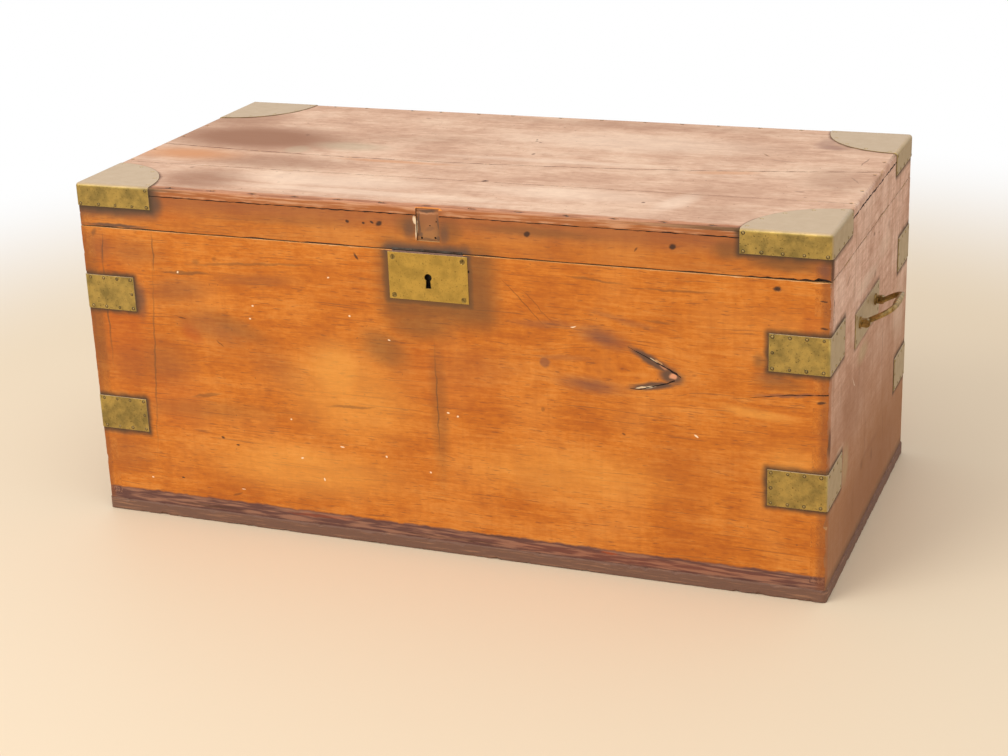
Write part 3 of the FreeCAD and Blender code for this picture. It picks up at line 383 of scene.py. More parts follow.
BACK_LOOK = Look(
    Face.BACK, dark="#9A5722", middle="#BE7430", light="#D2924C", roughness=0.5, contrast=0.8, mottle=0.35,
    pores=0.35, drips=0.15,
    bands=(Band(2, 32.5, 29.5, "#5F4036", 1.0), Band(2, 31.5, 28.5, "#8A5E48", 0.7, True)),
    layers=(
        layer("#8A4A22", {0.8: [(250, 240, 190, 70, 0.35, 3), (700, 130, 160, 60, 0.35, -5)]}),
        layer("#E0A763", {0.8: [(480, 160, 150, 60, 0.4, 4), (780, 300, 90, 40, 0.35)]}),
        layer("#4A2E1E", {
            0.6: [(312, 180, 42, 0.9, 0.6, -28), (610, 260, 60, 0.9, 0.5, 12), (205, 330, 6, 3, 0.8, 20),
                (540, 96, 5, 3, 0.8), (742, 214, 8, 2, 0.7, -14), (118, 70, 5, 3, 0.7), (430, 401, 5, 3, 0.8),
                (655, 398, 14, 1.2, 0.7, 3)],
        }),
        plate_grime_and_shade(67, WIDTH),
    ),
)
TOP_LOOK = Look(
    Face.TOP, dark="#B2876D", middle="#D2A98D", light="#E6C6AA", roughness=0.66, contrast=0.8, mottle=0.35,
    pores=0.25, drips=0.0,
    bands=(Band(1, 14.5, 9.5, "#B87246", 0.7), Band(1, 13, 9, "#8A5236", 0.7, True)),
    layers=(
        layer("#96694F", {
            0.7: [(110, 262, 180, 86)],
            0.8: [(40, 350, 90, 70, 0.6), (190, 150, 150, 50, 0.65), (880, 215, 60, 80, 0.4, 6),
                (790, 60, 70, 50, 0.25), (880, 390, 80, 60, 0.4), (142, 56, 84, 66, 0.75),
                (330, 300, 160, 30, 0.3, 4), (560, 430, 360, 26, 0.3)],
        }),
        layer("#C98B5E", {
            0.8: [(340, 184, 110, 9, 0.6), (745, 223, 60, 12, 0.5, 12)],
            0.9: [(60, 166, 110, 44, 0.9)],
        }),
        layer("#EED3BA", {
            0.8: [(300, 82, 180, 42, 0.5), (600, 90, 170, 40, 0.4), (520, 230, 200, 14, 0.35),
                (600, 340, 240, 60, 0.4), (350, 42, 240, 18, 0.45), (725, 85, 26, 60, 0.5, -20)],
        }),
        layer("#B8A88C", {0.6: [(190, 215, 22, 26, 0.35)], 0.8: [(250, 245, 70, 32, 0.5)]}),
        layer("#8A6458", {0.8: [(838, 370, 30, 18, 0.6, -20), (828, 390, 18, 40, 0.4, -8)]}),
        layer("#6A4B3C", {
            0.6: [(482, 123, 5, 3.5, 0.8, 30), (492, 258, 6, 3, 0.7, 100), (848, 58, 4, 3), (690, 76, 3, 3),
                (473, 322, 3, 2, 0.8, 20), (480, 316, 3, 2, 0.8), (470, 330, 4, 1.6, 0.7, 100),
                (771, 316, 11, 1.6, 0.8, -48), (892, 308, 24, 1.4, 0.6, 84), (167, 290, 4, 7, 0.4, 10),
                (418, 216, 6, 3, 0.4), (847, 160, 8, 4, 0.35), (285, 413, 5, 4, 0.4), (897, 222, 20, 1.4, 0.4, -60)],
            0.8: [(795, 292, 26, 3, 0.3, -12), (103, 103, 5, 5, 0.4)],
        }),
        layer("#5A3A2C", {
            # painted shade in a thin dark line round the curved edge of each bracket's top
            0.05: [(u, v, 104.5, 104.5, 0.85) for u in (0, WIDTH) for v in (0, DEPTH)],
            0.6: [(BRACKET + FIRST_NAIL + i * NAIL_SPACING, 5.5, 8, 3.2, 0.8) for i in range(TOP_NAILS)],
        }),
    ),
)
END_LOOK = Look(
    Face.RIGHT, dark="#B0846C", middle="#DBB19B", light="#EDCDBA", roughness=0.7, contrast=0.8, mottle=0.5, pores=0.2,
    drips=0.5,
    bands=(Band(2, 322, 90, "#9A6539", 0.87), Band(1, 13, 6, "#A8622E", 0.6), Band(2, 27, 17, "#7A5A42", 0.75)),
    layers=(
        layer("#8F5F42", {0.8: [(230, 60, 260, 60, 0.35), (120, 190, 120, 60, 0.35), (245, 95, 90, 9, 0.5)]}),
        layer("#5E3D2A", {
            # among these, the upright line 404 from the front is painted shade with a crack beside the lower rear strap
            0.6: [(4, 300, 7, 26, 0.8), (5, 190, 8, 22, 0.8), (3, 386, 10, 22, 0.9), (404, 122, 22, 2.2, 0.6, 90),
                (228, 363, 7, 3, 0.5, -10), (160, 214, 30, 1.2, 0.5, 96), (300, 200, 44, 1.4, 0.5, 88),
                (352, 160, 30, 1.2, 0.45, 93), (118, 330, 26, 1.0, 0.5, 92), (206, 120, 40, 1.0, 0.5, 88),
                (60, 230, 34, 1.0, 0.5, 91), (268, 268, 20, 1.0, 0.45, 95), (380, 210, 26, 1.2, 0.5, 90),
                (140, 60, 30, 1.0, 0.45, 89), (320, 90, 34, 1.2, 0.45, 92)],
            0.8: [(190, 90, 12, 10, 0.3), (320, 350, 12, 8, 0.3), (240, 312, 9, 6, 0.4), (250, 80, 9, 12, 0.35),
                (88, 350, 12, 3, 0.4, 20)],
            # painted shade beside the upper rear strap, in a dark line over the crack there
            0.9: [(395, 284, 22, 2.4, 0.7, 90)],
        }),
        layer("#B3A57A", {0.8: [(92, 130, 26, 34, 0.4), (178, 236, 44, 16, 0.4)]}),
        layer("#E6CDB6", {
            0.6: [(130, 216, 16, 1.3, 0.6, -40)],
            0.8: [(196, 318, 90, 14, 0.4), (60, 160, 30, 6, 0.3), (300, 330, 60, 20, 0.3), (405, 215, 56, 60, 0.28)],
        }),
        plate_grime_and_shade(71, DEPTH, Halo(197, 276.5, 68, 20.5, 6, 0.6)),
    ),
)


# ---------------------------------------------------------------- wood

class Shading:
    """A material under construction."""

    def __init__(self, name: str) -> None:
        """Starts with an empty tree and the surface's coordinates.

        Args:
            name: The material's name.
        """
        self.material = bpy.data.materials.new(name)
        self.tree = emptied(self.material)
        self.source = add(self.tree, "TexCoord").outputs

    def noise(self, vector: Feed, size: Sequence[float], detail: float, **more: float) -> Node:
        """A noise whose features have a size of their own along each axis.

        Args:
            vector: Coordinates.
            size: The size of a feature, in the unit of the coordinates.
            detail: How ragged it is.
            **more: Other inputs of the noise.

        Returns:
            The noise.
        """
        spot = add(self.tree, "Mapping", {"Vector": vector, "Scale": size}, vector_type="TEXTURE")
        return add(self.tree, "TexNoise", {"Vector": spot, "Scale": 1.0, "Detail": detail, **more})

    def lay(self, under: Feed, colour: str | Feed, mask: Feed) -> NodeSocket:
        """Lays one colour over another through a mask.

        Args:
            under: What shows where the mask is zero.
            colour: What shows where it is one.
            mask: The mask.

        Returns:
            The colour.
        """
        over = linear(colour) if isinstance(colour, str) else colour
        return add(self.tree, "Mix", {0: mask, 6: under, 7: over}, data_type="RGBA").outputs[2]

    def finish(self, height: Feed, strength: float, depth: float, **inputs: Feed) -> Material:
        """Adds the relief and the shader.

        Args:
            height: The relief.
            strength: The relief's strength.
            depth: Its depth in metres.
            **inputs: The shader's inputs, with a low line for each space.

        Returns:
            The finished material.
        """
        relief = add(self.tree, "Bump", {"Height": height, "Strength": strength, "Distance": depth})
        named = {name.replace("_", " "): value for name, value in inputs.items()}
        shader = add(self.tree, "BsdfPrincipled", {**named, "Normal": relief})
        add(self.tree, "OutputMaterial", {"Surface": shader})
        return self.material


class Along(Enum):
    """The way the grain runs."""
    ACROSS_FRONT = 0
    FRONT_TO_BACK = 1


@dataclass(frozen=True)
class Grain:
    """Camphor wood as it was sawn. Sizes in millimetres along and across the grain, and weights."""
    along: Along
    figure: tuple[tuple[float, float, float], ...] = (
        (140.0, 45.0, 0.34), (80.0, 6.0, 0.22), (34.0, 1.7, 0.22), (9.0, 4.0, 0.22))
    pore: tuple[float, float] = (16.0, 1.8)         # twice as coarse as real pores, so that they show
    vessel: tuple[float, float] = (300.0, 1.4)      # a long thin line of them
    scrape: tuple[float, float] = (48.0, 3.4)       # streaks in which paint has gone
    wander: tuple[float, float] = (260.0, 110.0)
    sway: float = 16.0                              # how far the grain wanders across the board


class WeatheredWood(Shading):
    """Oiled and shellacked camphor wood that light and dust have faded on the top and ends.

    The front and back keep the warm orange of the shellac, the top and ends are dry and pinkish, and the inside is
    pale bare wood.
    """
    BARE = ("#A5794A", "#BF9562", "#CFAA7A")
    PATCH, CLOUD, DIRT, DRIP = (90.0,) * 3, (25.0,) * 3, (5.0,) * 3, (7.0, 7.0, 120.0)      # millimetres
    KNOT, KNOT_REACH, KNOT_PULL = (690.0, 0.0, 264.0), (120.0, 1e6, 52.0), (0.0, 0.0, -0.72)
    RAGGED, RAGGED_GRIT = 6.0, 1 / 14               # the marks' edges move this far, this often
    SLACK = 4.0                                     # of that counts when a mark is looked for on a board
    FAR = 1e6
    LOOKING = (0.45, 0.8)                           # how far a surface faces a side where its look begins and is full
    ACROSS = (0.6, 0.9)                             # the same for end grain, which darkens by the share in DARKER
    DARKER = 0.07
    RELIEF, RELIEF_DEPTH = 0.2, 0.6 * MM

    def __init__(self, board: str, grain: Grain) -> None:
        """Finds which sides of the chest the board is on.

        Args:
            board: The board's node.
            grain: How it was sawn.
        """
        super().__init__("camphor_" + board)
        self.grain = grain
        low, high = (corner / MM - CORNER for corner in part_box(board))
        self.normals = {
            Face.FRONT: [(1, -1)] * (low.y < 1), Face.BACK: [(1, 1)] * (high.y > DEPTH - 1),
            Face.TOP: [(2, 1)] * (high.z > HEIGHT - 1),
            Face.RIGHT: [(0, -1)] * (low.x < 1) + [(0, 1)] * (high.x > WIDTH - 1),
        }
        along = {Face.TOP: (0, 1), Face.RIGHT: (1, 2)}
        self.reach = {face: [(low[i], high[i]) for i in along.get(face, (0, 2))] for face in self.normals}
        self.looks = [look for look in (FRONT_LOOK, BACK_LOOK, TOP_LOOK, END_LOOK) if self.normals[look.face]]

    def build(self) -> Material:
        """Makes the whole node tree.

        Returns:
            The finished material.
        """
        self.find_places()
        tone, streaks, fibres = self.make_grain()
        colour = self.grained(tone, self.BARE, 1.0)
        rough: Feed = 0.7
        for look in self.looks:
            side = self.side_mask(look.face)
            colour = self.lay(colour, self.side_colour(tone, look), side)
            rough = add(self.tree, "Mix", {0: side, 2: rough, 3: look.roughness})
        colour = self.lay(colour, "#6A452C", self.end_grain)
        rough = add(self.tree, "Math", {0: streaks, 1: 0.12, 2: rough}, operation="MULTIPLY_ADD")
        height = add(self.tree, "Math", {0: streaks, 1: 0.6, 2: fibres}, operation="MULTIPLY_ADD")
        return self.finish(height, self.RELIEF, self.RELIEF_DEPTH, Base_Color=colour, Roughness=rough,
                           Specular_IOR_Level=0.25)

    def find_places(self) -> None:
        """Millimetre coordinates, a ragged copy of them for the marks, and where end grain shows."""
        self.spot = add(self.tree, "VectorMath", {0: self.source["Object"], 1: (1 / MM,) * 3, 2: tuple(-CORNER)},
                        operation="MULTIPLY_ADD")
        rough = add(self.tree, "TexNoise", {"Vector": self.spot, "Scale": self.RAGGED_GRIT, "Detail": 3.0})
        shift = add(self.tree, "VectorMath", {0: rough.outputs["Color"], 1: (0.5,) * 3}, operation="SUBTRACT")
        self.ragged = add(self.tree, "VectorMath", {0: shift, 1: (self.RAGGED,) * 3, 2: self.spot},
                          operation="MULTIPLY_ADD")
        self.facing = add(self.tree, "SeparateXYZ", {0: self.source["Normal"]}).outputs
        across = add(self.tree, "Math", {0: self.facing[self.grain.along.value]}, operation="ABSOLUTE")
        self.end_grain = add(self.tree, "MapRange", {
            "Value": across, "From Min": self.ACROSS[0], "From Max": self.ACROSS[1], "To Max": self.DARKER})

    def side_mask(self, face: Face) -> Feed:
        """One where the surface looks out of a side of the chest, and zero elsewhere.

        Args:
            face: The side; the right one stands for both ends.

        Returns:
            The mask.
        """
        mask: Feed = 0.0
        for axis, sign in self.normals[face]:
            turned = add(self.tree, "MapRange", {
                "Value": self.facing[axis], "From Min": self.LOOKING[0] * sign, "From Max": self.LOOKING[1] * sign})
            mask = add(self.tree, "Math", {0: mask, 1: turned}, operation="MAXIMUM")
        return mask

    def sized(self, along: float, across: float) -> list[float]:
        """A size along and across the grain, in the order of the axes."""
        return [along if axis == self.grain.along.value else across for axis in range(3)]

    def make_grain(self) -> tuple[Feed, Feed, Feed]:
        """Figure, streaks and fibres of the wood.

        Returns:
            The tone, from 0 in the dark wood to 1 in the light, and the streaks and fibres for the relief.
        """
        wander = self.noise(self.spot, self.sized(*self.grain.wander), 2.0)
        sway = add(self.tree, "VectorMath", {0: wander.outputs["Color"], 1: (self.grain.sway,) * 3, 2: self.spot},
                   operation="MULTIPLY_ADD")
        self.bent = self.round_knot(sway)
        total: Feed = 0.0
        levels = []
        for along, across, weight in self.grain.figure:
            levels.append(self.noise(self.bent, self.sized(along, across), 3.0, Roughness=0.6))
            total = add(self.tree, "Math", {0: levels[-1], 1: weight, 2: total}, operation="MULTIPLY_ADD")
        return add(self.tree, "MapRange", {"Value": total, "From Min": 0.38, "From Max": 0.62}), *levels[1:3]

    def round_knot(self, vector: Feed) -> Feed:
        """Grain that parts and closes again round the knot in the front board.

        Args:
            vector: Millimetre coordinates.

        Returns:
            The bent coordinates.
        """
        away = add(self.tree, "VectorMath", {0: vector, 1: self.KNOT}, operation="SUBTRACT")
        near = add(self.tree, "Mapping", {"Vector": away, "Scale": self.KNOT_REACH}, vector_type="TEXTURE")
        distance = add(self.tree, "VectorMath", {0: near}, operation="LENGTH").outputs["Value"]
        pull = add(self.tree, "MapRange", {"Value": distance, "From Min": 1.0, "From Max": 0.0},
                   interpolation_type="SMOOTHSTEP")
        gathered = add(self.tree, "VectorMath", {0: away, 1: self.KNOT_PULL}, operation="MULTIPLY")
        return add(self.tree, "VectorMath", {0: gathered, 1: pull, 2: vector}, operation="MULTIPLY_ADD")

    def grained(self, tone: Feed, shades: tuple[str, str, str], contrast: float) -> Feed:
        """The wood's own colour.

        Args:
            tone: 0 in the dark wood, 1 in the light.
            shades: Dark, middle and light grain.
            contrast: How strongly the grain shows.

        Returns:
            The colour.
        """
        half, overlap = 0.5 / contrast, 0.03
        low = add(self.tree, "MapRange", {"Value": tone, "From Min": 0.5 - half, "From Max": 0.5 + overlap})
        high = add(self.tree, "MapRange", {"Value": tone, "From Min": 0.5 - overlap, "From Max": 0.5 + half})
        dark, middle, light = shades
        return self.lay(self.lay(linear(dark), middle, low), light, high)

    def side_colour(self, tone: Feed, look: Look) -> Feed:
        """The colour of one side of the chest, from the grain up to the grime.

        Args:
            tone: The grain's tone.
            look: The side.

        Returns:
            The colour.
        """
        colour = self.grained(tone, (look.dark, look.middle, look.light), look.contrast)
        patch = self.noise(self.spot, self.PATCH, 4.0)
        for value, start, full, most, shade in (
                (patch, 0.50, 0.75, 0.5, look.dark), (patch, 0.50, 0.25, 0.5, look.light),
                (self.noise(self.spot, self.CLOUD, 5.0), 0.48, 0.68, look.mottle, look.dark),
                (self.noise(self.spot, self.DRIP, 3.0), 0.50, 0.70, look.drips, look.dark),
                (self.noise(self.bent, self.sized(*self.grain.pore), 2.0), 0.61, 0.72, look.pores, "#7A4426"),
                (self.noise(self.bent, self.sized(*self.grain.vessel), 2.0), 0.65, 0.70, look.pores, "#7A4A2A"),
                (self.noise(self.spot, self.DIRT, 2.0), 0.70, 0.76, 0.5, "#5A3A26")):
            if most:
                mask = add(self.tree, "MapRange", {"Value": value, "From Min": start, "From Max": full, "To Max": most})
                colour = self.lay(colour, shade, mask)
        if look.face is Face.FRONT:         # the floor of the lost hasp plate's recess
            sunk = add(self.tree, "SeparateXYZ", {0: self.spot}).outputs[1]
            floor = add(self.tree, "MapRange", {"Value": sunk, "From Min": 0.5, "From Max": 0.8})
            colour = self.lay(colour, "#A9794A", floor)
        for band in look.bands:
            colour = self.lay(colour, band.colour, self.band_mask(band))
        for part in look.layers:
            marks = [mark for mark in part.marks if self.shows(look.face, mark)]
            if marks:
                colour = self.lay(colour, part.colour, self.mark_mask(look.face, marks))
        return colour

    def band_mask(self, band: Band) -> Feed:
        """Where a band lies.

        Args:
            band: The band.

        Returns:
            The mask.
        """
        place_along = add(self.tree, "SeparateXYZ", {0: self.ragged}).outputs[band.axis]
        mask = add(self.tree, "MapRange", {
            "Value": place_along, "From Min": band.start, "From Max": band.full, "To Max": band.strength})
        if not band.streaky:
            return mask
        scraped = self.noise(self.spot, self.sized(*self.grain.scrape), 5.0)
        bare = add(self.tree, "MapRange", {"Value": scraped, "From Min": 0.46, "From Max": 0.58})
        return add(self.tree, "Math", {0: mask, 1: bare}, operation="MULTIPLY")

    def shows(self, face: Face, mark: Mark | Halo) -> bool:
        """Whether a mark falls on this board.

        Args:
            face: The face that it is on.
            mark: The mark.

        Returns:
            True if it may show.
        """
        return all(low - size - self.SLACK < at < top + size + self.SLACK
                   for (low, top), at, size in zip(self.reach[face], (mark.u, mark.v), mark.size()))

    def mark_mask(self, face: Face, marks: Iterable[Mark | Halo]) -> Feed:
        """Where any of the marks lies on a face: ellipses, and grime and painted shade that fade away from plates.

        Args:
            face: The face that they are on.
            marks: Stains and halos.

        Returns:
            The mask.
        """
        def spread(u: float, v: float, off: float) -> tuple[float, float, float]:
            """Two values along the face and one off it, in the order of the axes."""
            return {Face.TOP: (u, v, off), Face.RIGHT: (off, u, v)}.get(face, (u, off, v))

        mask: Feed = 0.0
        for mark in marks:
            centre = spread(mark.u, mark.v, 0.0)
            if isinstance(mark, Halo):
                away = add(self.tree, "VectorMath", {0: self.ragged, 1: centre}, operation="SUBTRACT")
                folded = add(self.tree, "VectorMath", {0: away}, operation="ABSOLUTE")
                past = add(self.tree, "VectorMath", {0: folded, 1: spread(mark.half_u, mark.half_v, self.FAR)},
                           operation="SUBTRACT")
                local = add(self.tree, "VectorMath", {0: past, 1: (0.0, 0.0, 0.0)}, operation="MAXIMUM")
                near = add(self.tree, "VectorMath", {0: local}, operation="LENGTH").outputs["Value"]
                start, full = mark.reach, 0.0
            else:
                turn = math.radians(mark.turn)
                turned = {Face.TOP: (0, 0, turn), Face.RIGHT: (turn, 0, 0)}.get(face, (0, -turn, 0))
                local = add(self.tree, "Mapping", {
                    "Vector": self.ragged, "Location": centre, "Rotation": turned,
                    "Scale": spread(mark.length, mark.width, self.FAR)}, vector_type="TEXTURE")
                near = add(self.tree, "TexGradient", {"Vector": local}, gradient_type="SPHERICAL").outputs["Fac"]
                start, full = 0.0, mark.soft
            made = add(self.tree, "MapRange", {
                "Value": near, "From Min": start, "From Max": full, "To Max": mark.strength},
                interpolation_type="SMOOTHSTEP")
            mask = add(self.tree, "Math", {0: mask, 1: made}, operation="MAXIMUM")
        return mask


# ---------------------------------------------------------------- other finishes

@dataclass(frozen=True)
class Metal:
    """A metal with tarnish in broad patches, fine specks, shallow dents, dust, and a painted highlight on rubbed edges.
    """
    name: str
    bright: str
    dull: str
    spots: str
    roughness: float
    metallic: float = 1.0
    patch: float = 14.0         # millimetres across a patch of tarnish
    dust: float = 0.0           # share of pale dust on what faces up
    soil: float = 0.0           # share of brown soil on what faces the ends
    worn: float = 0.0           # how strong the painted highlight and rubbing wear on rounded folds and edges are
    speck: float = 2.2          # millimetres
    dent: float = 9.0           # millimetres

    def build(self) -> Material:
        """Makes the material.

        Returns:
            The finished material.
        """
        shading = Shading(self.name)
        tree = shading.tree
        spot = add(tree, "VectorMath", {0: shading.source["Object"], 1: (1 / MM,) * 3}, operation="MULTIPLY")
        patches = add(tree, "TexNoise", {"Vector": spot, "Scale": 1 / self.patch, "Detail": 5.0, "Roughness": 0.6})
        fine = add(tree, "TexNoise", {"Vector": spot, "Scale": 1 / self.speck, "Detail": 3.0})
        folded = add(tree, "VectorMath", {0: shading.source["Normal"]}, operation="ABSOLUTE")
        end, front, top = add(tree, "SeparateXYZ", {0: folded}).outputs
        flat = add(tree, "Math", {0: end, 1: front}, operation="MAXIMUM")
        flat = add(tree, "Math", {0: flat, 1: top}, operation="MAXIMUM")
        colour: Feed = linear(self.bright)
        metallic: Feed = self.metallic
        for value, start, full, most, shade in (
                (patches, 0.38, 0.66, 1.0, self.dull), (fine, 0.60, 0.72, 0.8, self.spots),
                (end, 0.45, 0.9, self.soil, "#A8906F"), (top, 0.35, 0.9, self.dust, "#BCA284"),
                # rounded folds and edges: a painted highlight over rubbing wear
                (flat, 0.96, 0.88, self.worn, "#CDB277")):
            if most:
                mask = add(tree, "MapRange", {"Value": value, "From Min": start, "From Max": full, "To Max": most})
                colour = shading.lay(colour, shade, mask)
                if value in (end, top):
                    metallic = add(tree, "Math", {0: metallic, 1: mask}, operation="SUBTRACT", use_clamp=True)
        roughness = add(tree, "Math", {0: patches, 1: 0.3, 2: self.roughness - 0.1}, operation="MULTIPLY_ADD",
                        use_clamp=True)
        dents = add(tree, "TexNoise", {"Vector": spot, "Scale": 1 / self.dent, "Detail": 2.0})
        return shading.finish(dents, 0.25, 0.0012, Base_Color=colour, Metallic=metallic, Roughness=roughness)


@dataclass(frozen=True)
class RoughWood:
    """Wood without a finish: split, chipped or painted long ago."""
    name: str
    colour: str
    streaks: str
    roughness: float = 0.8
    share: float = 0.5          # how much of it the streaks take
    inside: tuple[str, ...] = ()        # dark and light grain of what looks up inside the case, which is bare
    splinter: tuple[float, float, float] = (45 * MM, 30 * MM, 1.6 * MM)
    figure: tuple[float, float, float] = (160 * MM, 4 * MM, 4 * MM)

    def build(self) -> Material:
        """Makes the material.

        Returns:
            The finished material.
        """
        shading = Shading(self.name)
        torn = shading.noise(shading.source["Object"], self.splinter, 4.0, Roughness=0.65)
        mask = add(shading.tree, "MapRange", {
            "Value": torn, "From Min": 0.72 - 0.4 * self.share, "From Max": 0.86 - 0.4 * self.share})
        colour = shading.lay(linear(self.colour), self.streaks, mask)
        if self.inside:
            colour = self.bare(shading, colour)
        return shading.finish(torn, 0.5, 0.0012, Base_Color=colour, Roughness=self.roughness)

    def bare(self, shading: Shading, painted: Feed) -> Feed:
        """Leaves out the paint on what looks up between the boards of the case.

        Args:
            shading: The material.
            painted: The painted colour.

        Returns:
            Both colours.
        """
        tree, source = shading.tree, shading.source
        dark, light = self.inside
        wood = shading.lay(linear(dark), light, shading.noise(source["Object"], self.figure, 3.0))
        half = [1 / ((size / 2 - BOARD) * MM) for size in (WIDTH, DEPTH)]
        share = add(tree, "VectorMath", {0: source["Object"], 1: (*half, 0.0)}, operation="MULTIPLY")
        folded = add(tree, "VectorMath", {0: share}, operation="ABSOLUTE")
        along, across, _ = add(tree, "SeparateXYZ", {0: folded}).outputs
        edge = add(tree, "Math", {0: along, 1: across}, operation="MAXIMUM")
        within = add(tree, "Math", {0: edge, 1: 1.0}, operation="LESS_THAN")
        facing = add(tree, "SeparateXYZ", {0: source["Normal"]}).outputs
        upward = add(tree, "Math", {0: facing[2], 1: within}, operation="MULTIPLY")
        return shading.lay(painted, wood, add(tree, "MapRange", {"Value": upward, "From Min": 0.5, "From Max": 0.9}))


class Finishes:
    """Every material of the chest, by the name of what it is."""

    def __init__(self) -> None:
        """Builds them all."""
        self.painted = RoughWood("worn_brown_paint_on_pine", "#73503E", "#9A6E50", 0.75, 0.45,
                                 inside=("#8F6A42", "#C8A272")).build()
        # dark splits and holes; also the painted shade of the parting gap on the lid's lower edge
        self.crack = RoughWood("dark_split_and_gap_shade_in_camphor", "#35211A", "#5A382A", 0.9, 0.3).build()
        self.gap = RoughWood("grime_in_a_plank_seam", "#6E4A38", "#8E6650", 0.9, 0.5).build()
        self.chip = RoughWood("fresh_chip_in_camphor", "#C08E5C", "#E3BE8C", 0.8, 0.5).build()
        self.fresh = RoughWood("fresh_break_in_camphor", "#E08A3A", "#F2B468", 0.75, 0.5).build()
        # the case's top edge: rubbing wear, lightened further by a painted highlight
        self.rubbed_and_highlit = RoughWood("rubbed_and_highlit_edge_of_camphor", "#D28A42", "#E9B376", 0.6, 0.5).build()
        self.grime = RoughWood("hardened_grime", "#2E241A", "#40321F", 0.85, 0.4).build()
        self.sheet_brass = Metal("tarnished_sheet_brass", "#B79A55", "#8F7A45", "#5E4F30", 0.46, dust=0.9, soil=0.88,
                                 worn=0.1).build()
        self.lock_brass = Metal("rubbed_lock_brass", "#C29D4C", "#AA8A42", "#7A6030", 0.44, dust=0.3, worn=0.3).build()
        self.edge_brass = Metal("tarnished_lock_edge", "#937A72", "#7D655E", "#4E3E3C", 0.4, patch=20.0).build()
        self.cast_brass = Metal("cast_handle_brass", "#B09058", "#74603C", "#453721", 0.34, patch=6.0).build()
        self.hinge_brass = Metal("butt_hinge_brass", "#A58C50", "#7A673C", "#4E4228", 0.45).build()
        self.screw_brass = Metal("slotted_brass_screws", "#9C8248", "#6B5832", "#3D321E", 0.45, patch=4.0).build()
        self.pins = Metal("brass_escutcheon_pins", "#B39860", "#75643A", "#3E3320", 0.4, patch=3.0).build()
        self.iron = Metal("rusted_iron", "#5B5550", "#47372C", "#2A2019", 0.6, metallic=0.8).build()
        self.by_slot = {
            "painted_bottom_wood": self.painted, "sheet_brass": self.sheet_brass, "lock_brass": self.lock_brass,
            "lock_iron": self.iron, "handle_brass": self.cast_brass, "hinge_brass": self.hinge_brass,
            "screw_brass": self.screw_brass,
        }

    def of(self, node: str, slot: str) -> Material:
        """The material of a node: boards of camphor each get their own.

        Args:
            node: The node.
            slot: Its slot in the record.

        Returns:
            The material.
        """
        if node == "lock_selvage":
            return self.edge_brass
        if slot in self.by_slot:
            return self.by_slot[slot]
        ends = slot == "weathered_end_camphor"
        return WeatheredWood(node, Grain(Along.FRONT_TO_BACK if ends else Along.ACROSS_FRONT)).build()


# ---------------------------------------------------------------- worn and split edges

@dataclass(frozen=True)
class Split:
    """A crack or an open seam: a ragged groove along a line on a face."""
    face: Face
    line: tuple[tuple[float, float, float], ...]    # place on the face and width, in millimetres
    boards: tuple[str, ...]
    depth: float = 3.0
    ragged: float = 0.4         # share by which the width and place vary
    step: float = 7.0
    finish: str = "crack"


@dataclass(frozen=True)
class Wear:
    """An edge that knocks have rounded unevenly."""
    start: tuple[float, float, float]
    end: tuple[float, float, float]
    first: tuple[int, int, int]         # from the edge into one face
    second: tuple[int, int, int]        # from the edge into the other face
    boards: tuple[str, ...]
    depth: float = 1.2
    losses: float = 0.06        # chance of a larger loss at a place
    step: float = 8.0
    finish: str = "own"
    grow: float = 1.0           # how many times deeper it is at its end


@dataclass(frozen=True)
class Chip:
    """A piece broken or worn out of a face."""
    face: Face
    u: float
    v: float
    length: float               # half of it
    width: float                # half of it
    boards: tuple[str, ...]
    depth: float = 0.6
    turn: float = 0.0
    corners: int = 9
    ragged: float = 0.35
    finish: str = "own"
    base: float = 0.0           # from the wood's face out to the surface that it is in


